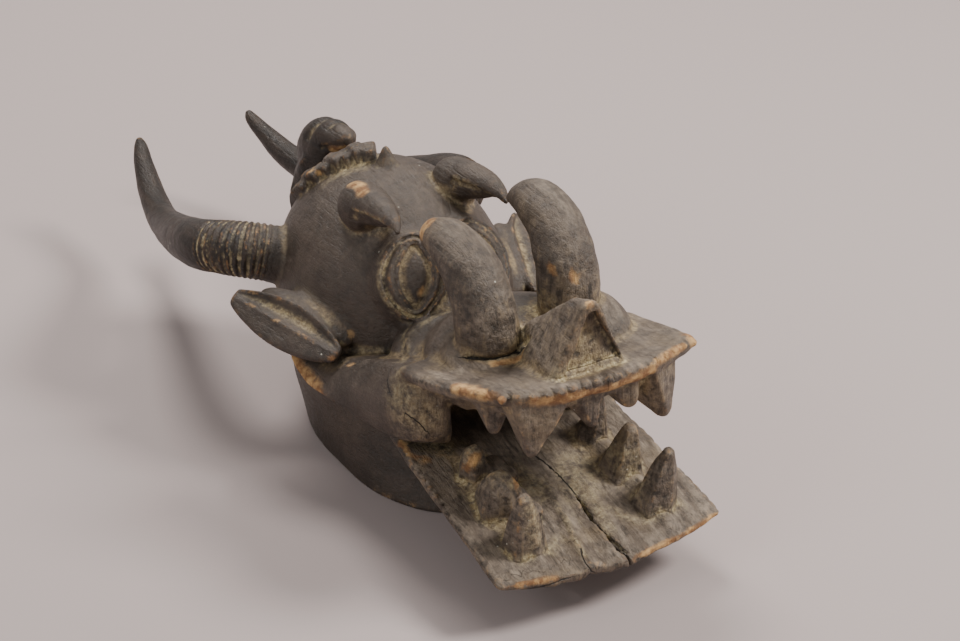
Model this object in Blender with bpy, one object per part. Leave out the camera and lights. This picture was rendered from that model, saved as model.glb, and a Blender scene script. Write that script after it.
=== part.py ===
"""Carved wooden helmet mask with crocodile jaws, tusks, horns and small figures.

Metres, +Z up, the mask looks along -Y and stands on its rim at z = 0. Every form is
placed from the centre of the rim, and the finished carving is then moved so that the
origin is the bottom centre of its box. The mask is one carved piece: the masses are
joined into one solid and the head cavity is cut out of it.
"""
import math

import bpy
import bmesh
from mathutils import Matrix, Vector

MASK = "helmet_mask"

# Helmet: an oval wall that leans back, closed above by a dome
WALL = 0.014
RIM_HALF_WIDTH = 0.105
RIM_HALF_LENGTH = 0.151
DOME_HALF_WIDTH = 0.115
DOME_HALF_LENGTH = 0.146
DOME_HEIGHT = 0.138
DOME_CENTRE_Y = 0.073
DOME_CENTRE_Z = 0.145
RIM_SQUARENESS = 2.6
HELMET_SIDES = 34
CAVITY_SIDES = 18

# Jaws, both carved as thin boards that widen to a bowed front edge
JAW_HALF_WIDTH = 0.132
JAW_FRONT = 0.361
JAW_BOW = 0.017
JAW_EDGE = 0.009
JAW_KEEL = 0.030
JAW_ROOT = 0.085
JAW_ROOT_HALF_WIDTH = 0.112
JAW_REAR_HEIGHT = 0.119
JAW_FRONT_HEIGHT = 0.061
BEAK_HALF_WIDTH = 0.122
BEAK_FRONT = 0.331
BEAK_BOW = 0.026
BEAK_EDGE = 0.015
BEAK_ROOT = 0.150
BEAK_ROOT_HALF_WIDTH = 0.120
BEAK_REAR_HEIGHT = 0.199
BEAK_FRONT_HEIGHT = 0.241
NOTCH_PITCH = 0.011
NOTCH_DEPTH = 0.003

# Teeth
TOOTH_RADIUS = 0.021
TOOTH_SIDES = 7
GUM_RADIUS = 0.011

# Tusks, nose, horns, ears, eyes
TUSK_RADIUS = 0.031
TUSK_FOOT = 0.195
NOSE_HALF_WIDTH = 0.045
NOSE_APEX_HEIGHT = 0.311
NOSE_FRONT = 0.305
HORN_RADIUS = 0.030
HORN_RIBS = 10
HORN_RIB_DEPTH = 0.0016
EAR_LENGTH = 0.140
EAR_HALF_WIDTH = 0.0245
EAR_HOLLOW = 0.011
EYE_HALF_LENGTH = 0.032
EYE_HALF_WIDTH = 0.017
EYE_PROUD = 0.012
EYE_RIDGE_RADIUS = 0.0035
EYE_RIDGE_PITCH = 0.009

# Small carvings on the crown
BIRD_HEAD_RADIUS = 0.026
SPIKE_HEIGHT = 0.031
COLLAR_HEIGHT = 0.017
COLLAR_RIDGES = 7
ANIMAL_RADIUS = 0.020
ANIMAL_PROUD = 0.022

# Shortest edge kept where masses meet
SPECK = 0.00003

WOOD = (0.085, 0.070, 0.058, 1.0)


def clear_scene():
    for thing in list(bpy.data.objects):
        bpy.data.objects.remove(thing, do_unlink=True)


def new_collection(name):
    made = bpy.data.collections.new(name)
    bpy.context.scene.collection.children.link(made)
    return made


def wood_material():
    wood = bpy.data.materials.new("dark_wood")
    wood.use_nodes = True
    shader = wood.node_tree.nodes["Principled BSDF"]
    shader.inputs["Base Color"].default_value = WOOD
    shader.inputs["Roughness"].default_value = 0.62
    shader.inputs["Metallic"].default_value = 0.0
    return wood


def add_object(name, bm, collection):
    """Turn a bmesh into an object of the collection, faces facing out."""
    bmesh.ops.recalc_face_normals(bm, faces=bm.faces)
    mesh = bpy.data.meshes.new(name)
    bm.to_mesh(mesh)
    bm.free()
    thing = bpy.data.objects.new(name, mesh)
    collection.objects.link(thing)
    return thing


def loft(name, rings, collection):
    """Skin over rings with equal point counts, closed at both ends by a fan."""
    bm = bmesh.new()
    loops = [[bm.verts.new(point) for point in ring] for ring in rings]
    count = len(rings[0])
    for low, high in zip(loops, loops[1:]):
        for i in range(count):
            j = (i + 1) % count
            bm.faces.new((low[i], low[j], high[j], high[i]))
    for loop in (loops[0], loops[-1]):
        centre = bm.verts.new(sum((v.co for v in loop), Vector()) / count)
        for i in range(count):
            bm.faces.new((loop[i], loop[(i + 1) % count], centre))
    return add_object(name, bm, collection)


def smooth_path(points, steps):
    """Catmull-Rom curve through points of any length, steps samples a span."""
    ends = [[2 * a - b for a, b in zip(points[0], points[1])],
            [2 * a - b for a, b in zip(points[-1], points[-2])]]
    padded = [ends[0]] + [list(p) for p in points] + [ends[1]]
    path = []
    for i in range(1, len(padded) - 2):
        for k in range(steps):
            t = k / steps
            path.append([0.5 * (2 * b + (c - a) * t + (2 * a - 5 * b + 4 * c - d) * t * t
                                + (3 * b - a - 3 * c + d) * t ** 3)
                         for a, b, c, d in zip(*padded[i - 1:i + 3])])
    path.append(padded[-2])
    return path


def even_stations(path, count):
    """The path's points read again at count equal steps of its length."""
    runs = [math.dist(a[:3], b[:3]) for a, b in zip(path, path[1:])]
    picked = []
    for k in range(count + 1):
        left = sum(runs) * k / count
        i = 0
        while i < len(runs) - 1 and left > runs[i]:
            left -= runs[i]
            i += 1
        share = min(1.0, left / runs[i])
        picked.append([a + (b - a) * share for a, b in zip(path[i], path[i + 1])])
    return picked


def limb(name, stations, sides, collection, closed=False):
    """Tube along (x, y, z, radius) stations, made as a bevelled curve with caps."""
    curve = bpy.data.curves.new(name, "CURVE")
    curve.dimensions = "3D"
    curve.bevel_depth = 1.0
    curve.bevel_resolution = max(0, sides // 2 - 2)
    curve.use_fill_caps = True
    spline = curve.splines.new("POLY")
    spline.points.add(len(stations) - 1)
    spline.use_cyclic_u = closed
    for point, (x, y, z, radius) in zip(spline.points, stations):
        point.co = (x, y, z, 1.0)
        point.radius = radius
    guide = bpy.data.objects.new(name + "_curve", curve)
    collection.objects.link(guide)
    bpy.context.view_layer.update()
    evaluated = guide.evaluated_get(bpy.context.evaluated_depsgraph_get())
    mesh = bpy.data.meshes.new_from_object(evaluated)
    bm = bmesh.new()
    bm.from_mesh(mesh)
    bmesh.ops.remove_doubles(bm, verts=bm.verts, dist=0.00005)
    bpy.data.objects.remove(guide, do_unlink=True)
    return add_object(name, bm, collection)


def ball(name, centre, half, collection, turn=None, segments=14, rings=9):
    bm = bmesh.new()
    bmesh.ops.create_uvsphere(bm, u_segments=segments, v_segments=rings, radius=1.0)
    place = Matrix.Translation(centre) @ (turn or Matrix.Identity(4)) @ Matrix.Diagonal((*half, 1.0))
    bmesh.ops.transform(bm, matrix=place, verts=bm.verts)
    return add_object(name, bm, collection)


def block(name, centre, half, round_off, collection, turn=None):
    """Box with rounded edges, turned about its centre."""
    bm = bmesh.new()
    bmesh.ops.create_cube(bm, size=2.0)
    bmesh.ops.transform(bm, matrix=Matrix.Diagonal((*half, 1.0)), verts=bm.verts)
    if round_off:
        bmesh.ops.bevel(bm, geom=bm.edges[:], offset=round_off, segments=1, affect="EDGES", profile=0.5)
    place = Matrix.Translation(centre) @ (turn or Matrix.Identity(4))
    bmesh.ops.transform(bm, matrix=place, verts=bm.verts)
    return add_object(name, bm, collection)


def cone(name, base, tip, base_radius, tip_radius, sides, collection):
    base, tip = Vector(base), Vector(tip)
    axis = tip - base
    bm = bmesh.new()
    bmesh.ops.create_cone(bm, cap_ends=True, segments=sides, radius1=base_radius,
                          radius2=tip_radius, depth=axis.length)
    place = Matrix.Translation((base + tip) / 2) @ axis.to_track_quat("Z", "Y").to_matrix().to_4x4()
    bmesh.ops.transform(bm, matrix=place, verts=bm.verts)
    return add_object(name, bm, collection)


def helmet_ring(z, inset, sides):
    """Outline of the helmet at height z, drawn in by inset."""
    rise = min(max(z / DOME_CENTRE_Z, 0.0), 1.0)
    shrink = 1.0
    if z > DOME_CENTRE_Z:
        shrink = math.sqrt(max(0.0, 1 - ((z - DOME_CENTRE_Z) / (DOME_HEIGHT - inset)) ** 2))
    half_width = (RIM_HALF_WIDTH + (DOME_HALF_WIDTH - RIM_HALF_WIDTH) * rise - inset) * shrink
    half_length = (RIM_HALF_LENGTH + (DOME_HALF_LENGTH - RIM_HALF_LENGTH) * rise - inset) * shrink
    power = 2 / (RIM_SQUARENESS + (2.0 - RIM_SQUARENESS) * rise)
    centre_y = DOME_CENTRE_Y * (rise - 0.12 * rise ** 4) / 0.88
    ring = []
    for i in range(sides):
        turn = 2 * math.pi * i / sides
        c, s = math.cos(turn), math.sin(turn)
        ring.append((half_width * math.copysign(abs(c) ** power, c),
                     centre_y + half_length * math.copysign(abs(s) ** power, s), z))
    return ring


def helmet_levels(inset, wall_steps, dome_steps):
    """Heights of the rings from the rim to just under the crown."""
    wall = [DOME_CENTRE_Z * i / wall_steps for i in range(wall_steps)]
    dome = [DOME_CENTRE_Z + (DOME_HEIGHT - inset) * math.sin(math.radians(84) * i / dome_steps)
            for i in range(dome_steps + 1)]
    return wall + dome


def dome_point(x, y, proud=0.0):
    """Point on the upper dome above (x, y), raised along the surface's normal."""
    dx, dy = x / DOME_HALF_WIDTH, (y - DOME_CENTRE_Y) / DOME_HALF_LENGTH
    z = DOME_HEIGHT * math.sqrt(max(0.0, 1 - dx * dx - dy * dy))
    normal = Vector((dx / DOME_HALF_WIDTH, dy / DOME_HALF_LENGTH, z / DOME_HEIGHT ** 2)).normalized()
    return Vector((x, y, DOME_CENTRE_Z + z)) + normal * proud, normal


def helmet(collection):
    rings = [helmet_ring(z, 0.0, HELMET_SIDES) for z in helmet_levels(0.0, 4, 8)]
    return loft(MASK, rings, collection)


def head_cavity(collection):
    levels = [-WALL] + helmet_levels(WALL, 3, 6)
    rings = [helmet_ring(z, WALL, CAVITY_SIDES) for z in levels]
    return loft("head_cavity", rings, collection)


def jaw_board(name, root, rear, front, bow, edge, keel, swell, collection):
    """A jaw: a thin board with a bowed front edge, keeled below towards its root.

    rear is the half width and top height at the root, front the same at the tip with
    its distance from the rim's centre. swell lifts or lowers the middle of the board.
    """
    across = [i / 4 for i in range(-4, 5)]
    rings = []
    for step in range(7):
        s = step / 6
        top, low = [], []
        for t in across:
            half = rear[0] + (front[0] - rear[0]) * s
            y = -root + (root - front[2] + bow * t * t) * s
            z = rear[1] + (front[1] - rear[1]) * s + swell * (1 - t * t) * min(1.0, 2 * s)
            thick = edge + (keel * (1 - s) + 0.3 * edge) * (1 - t * t)
            top.append((half * t, y, z))
            low.append((half * t, y + 0.3 * (thick - edge), z - thick))
        rings.append(top + low[::-1])
    return loft(name, rings, collection)


def notch(name, place, outward, size, collection):
    """Three-sided cutter for one nick in an edge, its point set into the wood."""
    outward = Vector(outward).normalized()
    side = Vector((0, 0, 1)).cross(outward)
    low = Vector(place) + outward * size
    ring = [low - side * size * 1.4, low + side * size * 1.4, Vector(place) - outward * size]
    rise = Vector((0, 0, size * 2.4))
    loft(name, [[p - rise * 0.6 for p in ring], [p + rise for p in ring]], collection)


def jaws(collection, cutters):
    jaw_board("lower_jaw", JAW_ROOT, (JAW_ROOT_HALF_WIDTH, JAW_REAR_HEIGHT),
              (JAW_HALF_WIDTH, JAW_FRONT_HEIGHT, JAW_FRONT), JAW_BOW, JAW_EDGE, JAW_KEEL,
              -0.003, collection)
    jaw_board("upper_jaw", BEAK_ROOT, (BEAK_ROOT_HALF_WIDTH, BEAK_REAR_HEIGHT),
              (BEAK_HALF_WIDTH, BEAK_FRONT_HEIGHT, BEAK_FRONT), BEAK_BOW, BEAK_EDGE, 0.0,
              0.002, collection)
    nicks = int(1.7 * BEAK_HALF_WIDTH / NOTCH_PITCH)
    for i in range(nicks):
        x = (i - (nicks - 1) / 2) * NOTCH_PITCH
        t = x / BEAK_HALF_WIDTH
        place = (x, -BEAK_FRONT + BEAK_BOW * t * t, BEAK_FRONT_HEIGHT)
        notch(f"front_nick_{i}", place, (2 * BEAK_BOW * t / BEAK_HALF_WIDTH, -1, 0), NOTCH_DEPTH, cutters)


def cheeks(side, collection):
    """Wedge from the ear to the corner of the mouth, sharp along its lower edge."""
    stations = [(0.036, 0.126, 0.130, 0.143, 0.124, 0.100, 0.001),
                (0.000, 0.110, 0.132, 0.142, 0.108, 0.080, 0.003),
                (-0.050, 0.110, 0.152, 0.139, 0.112, 0.075, 0.007),
                (-0.100, 0.112, 0.176, 0.128, 0.110, 0.072, 0.012),
                (-0.145, 0.116, 0.192, 0.120, 0.114, 0.074, 0.014),
                (-0.172, 0.104, 0.1975, 0.108, 0.122, 0.074, 0.012),
                (-0.186, 0.090, 0.1965, 0.094, 0.134, 0.078, 0.005)]
    rings = []
    for y, x_top, z_top, x_low, z_low, x_in, bulge in stations:
        ring = []
        for i in range(7):
            t = i / 6
            swell = bulge * math.sin(math.pi * t)
            ring.append((side * (x_top + (x_low - x_top) * t + swell), y,
                         z_top + (z_low - z_top) * t))
        ring += [(side * x_in, y, z_low - 0.012), (side * x_in, y, z_top - 0.004)]
        rings.append(ring)
    loft(f"cheek_{side}", rings, collection)


def jaw_top(y):
    s = (-y - JAW_ROOT) / (JAW_FRONT - JAW_ROOT)
    return JAW_REAR_HEIGHT + (JAW_FRONT_HEIGHT - JAW_REAR_HEIGHT) * s


def beak_top(y):
    s = (-y - BEAK_ROOT) / (BEAK_FRONT - BEAK_ROOT)
    return BEAK_REAR_HEIGHT + (BEAK_FRONT_HEIGHT - BEAK_REAR_HEIGHT) * s


def teeth(collection):
    """Cones with few sides, cut back to stubs where they are worn away."""
    lower = [(0.072, -0.212, 0.062, 0.75), (0.075, -0.262, 0.060, 1.0), (0.079, -0.314, 0.070, 1.0)]
    for side in (-1, 1):
        for i, (x, y, height, fat) in enumerate(lower):
            top = jaw_top(y)
            if side < 0 and i < 2:
                height *= 0.62
            cone(f"lower_tooth_{side}_{i}", (side * (x - 0.006), y + 0.004, top - 0.006),
                 (side * x, y - 0.004, top + height), TOOTH_RADIUS * fat, 0.0035, TOOTH_SIDES, collection)
        limb(f"lower_gum_{side}", smooth_path([(side * 0.062, -0.18, jaw_top(-0.18) - 0.004, 0.007),
                                               (side * 0.070, -0.25, jaw_top(-0.25) - 0.003, GUM_RADIUS),
                                               (side * 0.072, -0.34, jaw_top(-0.34) - 0.006, 0.008)], 3),
             6, collection)
    upper = [(-0.064, -0.305, -0.076, -0.322, 0.063, 1.15), (0.066, -0.305, 0.076, -0.322, 0.063, 1.1),
             (-0.072, -0.255, -0.075, -0.262, 0.058, 0.9), (0.072, -0.255, 0.075, -0.262, 0.058, 0.9),
             (-0.008, -0.312, -0.004, -0.326, 0.045, 0.8), (0.032, -0.310, 0.036, -0.326, 0.043, 0.8)]
    for i, (x, y, tip_x, tip_y, drop, fat) in enumerate(upper):
        root = beak_top(y) - 0.008
        cone(f"upper_tooth_{i}", (x, y, root), (tip_x, tip_y, root + 0.008 - drop),
             TOOTH_RADIUS * fat, 0.003, TOOTH_SIDES, collection)
    gum = [(0.083, -0.19), (0.078, -0.27), (0.055, -0.312), (0.0, -0.318)]
    path = [(-x, y, beak_top(y) - 0.017, GUM_RADIUS) for x, y in gum]
    path += [(x, y, beak_top(y) - 0.017, GUM_RADIUS) for x, y in gum[-2::-1]]
    limb("upper_gum", smooth_path(path, 2), 6, collection)


def snout(collection):
    """Rounded mass on the upper jaw that carries the tusks."""
    ball("snout", (0.0, -0.168, 0.186), (0.090, 0.078, 0.052), collection, None, 16, 8)
    ball("brow", (0.0, -0.095, 0.162), (0.090, 0.062, 0.038), collection, None, 16, 8)
    ball("tusk_root_-1", (-0.050, -0.196, 0.215), (0.036, 0.036, 0.018), collection, None, 10, 6)
    ball("tusk_root_1", (0.060, -0.205, 0.218), (0.040, 0.052, 0.034), collection, None, 12, 7)


def nose(collection, cutters):
    """A gable with a steep triangular front, its ridge falling back to the snout."""
    stations = [(-NOSE_FRONT, NOSE_HALF_WIDTH, NOSE_APEX_HEIGHT, 0.010),
                (-NOSE_FRONT + 0.030, NOSE_HALF_WIDTH, NOSE_APEX_HEIGHT - 0.010, 0.008),
                (-NOSE_FRONT + 0.065, NOSE_HALF_WIDTH - 0.004, NOSE_APEX_HEIGHT - 0.040, 0.009),
                (-NOSE_FRONT + 0.100, NOSE_HALF_WIDTH - 0.010, NOSE_APEX_HEIGHT - 0.068, 0.014)]
    rings = []
    for y, half, top, cap in stations:
        base = beak_top(y) - 0.006
        rings.append([(-half, y, base), (half, y, base), (half * 0.5 + cap * 0.5, y, (base + top) / 2),
                      (cap, y, top - 0.004), (0, y, top), (-cap, y, top - 0.004),
                      (-half * 0.5 - cap * 0.5, y, (base + top) / 2)])
    loft("nose", rings, collection)
    inner = []
    for y in (-NOSE_FRONT - 0.02, -NOSE_FRONT + 0.006):
        base = beak_top(-NOSE_FRONT) + 0.009
        inner.append([(-NOSE_HALF_WIDTH + 0.017, y, base), (NOSE_HALF_WIDTH - 0.017, y, base),
                      (0.004, y, NOSE_APEX_HEIGHT - 0.015), (-0.004, y, NOSE_APEX_HEIGHT - 0.015)])
    loft("nose_panel", inner, cutters)


def tusk(side, points, collection):
    foot = beak_top(-TUSK_FOOT)
    stations = [(side * x, y, foot + z, TUSK_RADIUS * r) for x, y, z, r in smooth_path(points, 2)]
    limb(f"tusk_{side}", stations, 12, collection)


def tusks(collection):
    """Two tusks that rise from the snout and bend back; the right one is worn shorter."""
    foot = [(0.045, -0.198, -0.004, 1.03), (0.046, -0.195, 0.033, 1.0)]
    right = [(0.047, -0.187, 0.063, 0.96), (0.049, -0.165, 0.087, 0.88), (0.050, -0.135, 0.097, 0.74),
             (0.051, -0.108, 0.094, 0.56), (0.052, -0.089, 0.088, 0.36)]
    left = [(0.047, -0.187, 0.074, 0.97), (0.049, -0.163, 0.102, 0.90), (0.050, -0.132, 0.112, 0.76),
            (0.051, -0.103, 0.105, 0.50), (0.052, -0.078, 0.093, 0.20)]
    tusk(-1, foot + right, collection)
    tusk(1, foot + left, collection)


def horn(side, collection):
    """Horn that bows out behind the ear and turns up at its tip, ribbed near the head."""
    ribbed = [(0.086, 0.132, 0.174, 1.0), (0.107, 0.145, 0.180, 1.0), (0.127, 0.157, 0.184, 0.98),
              (0.142, 0.176, 0.182, 0.94), (0.149, 0.202, 0.174, 0.90)]
    plain = [(0.148, 0.235, 0.162, 0.86), (0.137, 0.290, 0.140, 0.77), (0.115, 0.370, 0.107, 0.66),
             (0.100, 0.430, 0.091, 0.56), (0.088, 0.480, 0.096, 0.48), (0.079, 0.518, 0.110, 0.37),
             (0.072, 0.542, 0.123, 0.25), (0.070, 0.548, 0.129, 0.14)]
    pick = even_stations(smooth_path(ribbed + plain[:1], 12)[:-12], 2 * HORN_RIBS)
    stations = [(side * x, y, z, HORN_RADIUS * r - HORN_RIB_DEPTH * (i % 2))
                for i, (x, y, z, r) in enumerate(pick)]
    rest = smooth_path(ribbed[-1:] + plain, 2)[1:]
    stations += [(side * x, y, z, HORN_RADIUS * r) for x, y, z, r in rest]
    limb(f"horn_{side}", stations, 8, collection)


def ear(side, collection):
    """Leaf-shaped blade, hollow above a ridge along its middle."""
    along = Vector((side * 0.362, 0.920, 0.145)).normalized()
    facing = Vector((side * 0.62, -0.35, 0.70))
    facing = (facing - along * facing.dot(along)).normalized()
    across = along.cross(facing).normalized() * -side
    middle = Vector((side * 0.146, 0.036, 0.160))
    rings = []
    for step in range(9):
        t = step / 8
        half = EAR_HALF_WIDTH * math.sin(math.pi * (0.06 + 0.88 * t)) ** 0.62
        deep = half / EAR_HALF_WIDTH
        centre = middle + along * EAR_LENGTH * (t - 0.5)
        front, back = [], []
        for i in range(7):
            u = -1 + i / 3
            hollow = EAR_HOLLOW * math.sin(math.pi * t) ** 0.7 * math.sin(math.pi * max(0.0, u)) ** 2
            crown = 0.003 * deep * (1 - u * u)
            front.append(centre + across * half * u + facing * (crown - hollow))
            back.append(centre + across * half * u * 0.96
                        - facing * (0.003 + 0.017 * deep * math.sqrt(max(0.0, 1 - u * u * 0.9))))
        rings.append(front + back[::-1])
    loft(f"ear_{side}", rings, collection)
    turn = Matrix((across, along, facing)).transposed().to_4x4()
    ball(f"ear_root_{side}", middle - facing * 0.018 + across * 0.018 - along * 0.006,
         (0.020, 0.060, 0.014), collection, turn, 10, 7)


def eye(side, collection):
    """Almond eyeball on a low mound, with two ridges that follow it around."""
    spot, normal = dome_point(side * 0.037, -0.040)
    down = Vector((side * 0.25, -0.51, -0.82))
    down = (down - normal * down.dot(normal)).normalized()
    outer = down.cross(normal).normalized() * side
    if outer.x * side < 0:
        outer.negate()
    turn = Matrix((outer, down, outer.cross(down))).transposed().to_4x4()
    mound = (0.042, 0.047, EYE_PROUD + 0.006)
    ball(f"eye_mound_{side}", spot - normal * 0.006, mound, collection, turn, 14, 7)
    ball(f"eyeball_{side}", spot + normal * (EYE_PROUD - 0.002), (EYE_HALF_WIDTH, EYE_HALF_LENGTH, 0.009),
         collection, turn, 12, 7)
    for ring in (1, 2):
        stations = []
        for i in range(14):
            a = 2 * math.pi * i / 14
            grow = EYE_RIDGE_PITCH * ring
            u = (EYE_HALF_WIDTH + grow * (1.15 if math.sin(a) > 0 else 0.7)) * math.sin(a)
            v = (EYE_HALF_LENGTH + 0.55 * grow) * math.cos(a)
            on_mound = mound[2] * math.sqrt(max(0.0, 1 - (u / mound[0]) ** 2 - (v / mound[1]) ** 2)) - 0.006
            on_dome = -(u * u + v * v) / (2 * DOME_HEIGHT)
            point = spot + outer * u + down * v + normal * (max(on_mound, on_dome) + 0.0013)
            stations.append((*point, EYE_RIDGE_RADIUS))
        limb(f"eye_ridge_{side}_{ring}", stations, 6, collection, closed=True)


def bird(side, collection):
    """Round head sunk in the dome, with a stout beak that bends down."""
    head = (side * 0.054, 0.036, 0.269)
    ball(f"bird_head_{side}", head, (BIRD_HEAD_RADIUS * 0.92, BIRD_HEAD_RADIUS, BIRD_HEAD_RADIUS),
         collection, None, 10, 7)
    points = [(0.054, 0.034, 0.270, 0.90), (0.056, 0.010, 0.281, 0.78), (0.059, -0.018, 0.288, 0.56),
              (0.061, -0.038, 0.287, 0.34), (0.062, -0.051, 0.282, 0.12)]
    stations = [(side * x, y, z, BIRD_HEAD_RADIUS * r) for x, y, z, r in smooth_path(points, 2)]
    limb(f"beak_{side}", stations, 8, collection)


def crown(collection):
    """Spike, ridged collar and small crouching animal along the middle of the head."""
    base, normal = dome_point(0.0, 0.083, -0.008)
    cone("spike", base, base + normal * SPIKE_HEIGHT, 0.013, 0.0035, 8, collection)
    for i in range(COLLAR_RIDGES):
        share = i / (COLLAR_RIDGES - 1)
        spot, normal = dome_point(-0.058 + 0.054 * share, 0.155 - 0.045 * share ** 0.85)
        turn = normal.to_track_quat("Z", "Y").to_matrix().to_4x4() @ Matrix.Rotation(-0.65, 4, "Z")
        proud = COLLAR_HEIGHT * (0.75 + 0.30 * share) * (1.0 if i % 2 else 0.84)
        block(f"collar_{i}", spot + normal * (proud - COLLAR_HEIGHT), (0.0070, 0.0150, COLLAR_HEIGHT),
              0.003, collection, turn)
    head = [(0.0, 0.238, 0.236, 1.05), (0.0, 0.222, 0.252, 1.15), (0.0, 0.199, 0.264, 0.98),
            (0.0, 0.180, 0.271, 0.72), (0.0, 0.168, 0.275, 0.50)]
    limb("animal_head", [(x, y, z, ANIMAL_RADIUS * r) for x, y, z, r in smooth_path(head, 2)],
         10, collection)
    body = []
    for i in range(8):
        a = math.radians(37 - 52 * i / 7)
        proud = ANIMAL_PROUD * (1 - 0.6 * (i / 7) ** 2)
        body.append((0.0, DOME_CENTRE_Y + (DOME_HALF_LENGTH + proud) * math.cos(a),
                     DOME_CENTRE_Z + (DOME_HEIGHT + proud) * math.sin(a),
                     ANIMAL_RADIUS * (0.7 + 0.8 * math.sin(math.pi * (0.22 + 0.7 * i / 7)))))
    limb("animal_body", body, 10, collection)


def throat(cutters):
    """Hollow of the mouth and its opening into the helmet, which the wearer looks through."""
    block("throat", (0.0, -0.085, 0.155), (0.058, 0.055, 0.026), 0.012, cutters)
    roof = []
    for y, half in ((-0.256, 0.043), (-0.205, 0.066), (-0.152, 0.070), (-0.118, 0.066)):
        low, high = jaw_top(y) + 0.013, max(beak_top(y) - 0.019, 0.1795)
        roof.append([(-half, y, low), (half, y, low), (half, y, high), (-half, y, high)])
    loft("mouth_roof", roof, cutters)


def join_masses(mask, masses, cutters):
    """Union of every mass with the helmet, then the cuts."""
    union = mask.modifiers.new("join", "BOOLEAN")
    union.operation, union.operand_type, union.collection = "UNION", "COLLECTION", masses
    cut = mask.modifiers.new("cut", "BOOLEAN")
    cut.operation, cut.operand_type, cut.collection = "DIFFERENCE", "COLLECTION", cutters
    union.solver = cut.solver = "EXACT"
    union.use_self = cut.use_self = False
    for thing in list(masses.objects) + list(cutters.objects):
        thing.hide_render = True
        thing.display_type = "WIRE"


def fill_pockets(bm):
    """Drop the shells of the tiny closed pockets that stay between crossing masses."""
    waiting, shells = set(bm.verts), []
    while waiting:
        shell, front = set(), [waiting.pop()]
        while front:
            vert = front.pop()
            shell.add(vert)
            near = {edge.other_vert(vert) for edge in vert.link_edges} & waiting
            waiting -= near
            front += near
        shells.append(shell)
    outer = max(shells, key=len)
    bmesh.ops.delete(bm, geom=[v for v in bm.verts if v not in outer], context="VERTS")


def settle(mask, wood):
    """Keep the joined mesh alone, with its origin at the bottom centre of its box."""
    bpy.context.view_layer.update()
    evaluated = mask.evaluated_get(bpy.context.evaluated_depsgraph_get())
    mesh = bpy.data.meshes.new_from_object(evaluated)
    mask.modifiers.clear()
    bm = bmesh.new()
    bm.from_mesh(mesh)
    bmesh.ops.remove_doubles(bm, verts=bm.verts, dist=SPECK)
    bmesh.ops.dissolve_degenerate(bm, edges=bm.edges, dist=SPECK)
    bmesh.ops.triangulate(bm, faces=bm.faces)
    fill_pockets(bm)
    bm.to_mesh(mesh)
    bm.free()
    xs, ys, zs = zip(*(v.co for v in mesh.vertices))
    shift = Vector((0.0, -(min(ys) + max(ys)) / 2, -min(zs)))
    mesh.transform(Matrix.Translation(shift))
    mesh.materials.clear()
    mesh.materials.append(wood)
    mesh.shade_smooth()
    mesh.set_sharp_from_angle(angle=math.radians(35))
    mask.data = mesh
    return shift


def main():
    clear_scene()
    parts = new_collection(MASK)
    masses = new_collection("carved_masses")
    cutters = new_collection("cutters")
    mask = helmet(parts)
    jaws(masses, cutters)
    teeth(masses)
    snout(masses)
    nose(masses, cutters)
    for side in (-1, 1):
        cheeks(side, masses)
        horn(side, masses)
        ear(side, masses)
        eye(side, masses)
        bird(side, masses)
    tusks(masses)
    crown(masses)
    head_cavity(cutters)
    throat(cutters)
    join_masses(mask, masses, cutters)
    settle(mask, wood_material())


main()
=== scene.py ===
"""Carved wooden helmet mask, one piece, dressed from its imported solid.

The solid's forms are built again from the same named sizes as a distance field, with
the finer carving, cracks and wear added, and skinned as one mesh. Places are given
from the centre of the rim, in metres, with -Y the way the mask looks.
"""
import math

import bmesh
import bpy
import numpy as np
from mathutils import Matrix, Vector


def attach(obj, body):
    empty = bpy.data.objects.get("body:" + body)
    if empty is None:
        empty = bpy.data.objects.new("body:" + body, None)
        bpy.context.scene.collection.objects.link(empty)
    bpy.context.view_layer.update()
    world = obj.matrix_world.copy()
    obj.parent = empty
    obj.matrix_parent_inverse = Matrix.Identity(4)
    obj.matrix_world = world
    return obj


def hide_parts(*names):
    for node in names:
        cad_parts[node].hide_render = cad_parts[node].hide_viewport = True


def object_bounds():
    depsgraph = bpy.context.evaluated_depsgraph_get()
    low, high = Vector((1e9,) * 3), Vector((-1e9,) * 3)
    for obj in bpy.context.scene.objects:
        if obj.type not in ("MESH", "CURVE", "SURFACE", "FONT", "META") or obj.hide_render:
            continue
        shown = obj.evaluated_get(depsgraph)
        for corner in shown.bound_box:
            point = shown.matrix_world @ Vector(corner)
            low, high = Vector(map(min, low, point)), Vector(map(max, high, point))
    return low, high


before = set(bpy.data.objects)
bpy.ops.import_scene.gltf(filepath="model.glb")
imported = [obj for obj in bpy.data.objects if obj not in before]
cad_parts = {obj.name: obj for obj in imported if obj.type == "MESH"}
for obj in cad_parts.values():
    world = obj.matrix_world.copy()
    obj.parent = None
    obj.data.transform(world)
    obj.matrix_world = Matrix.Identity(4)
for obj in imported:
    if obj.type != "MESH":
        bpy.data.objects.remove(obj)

import openvdb
from mathutils import Matrix, Vector

F32 = np.float32

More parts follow.
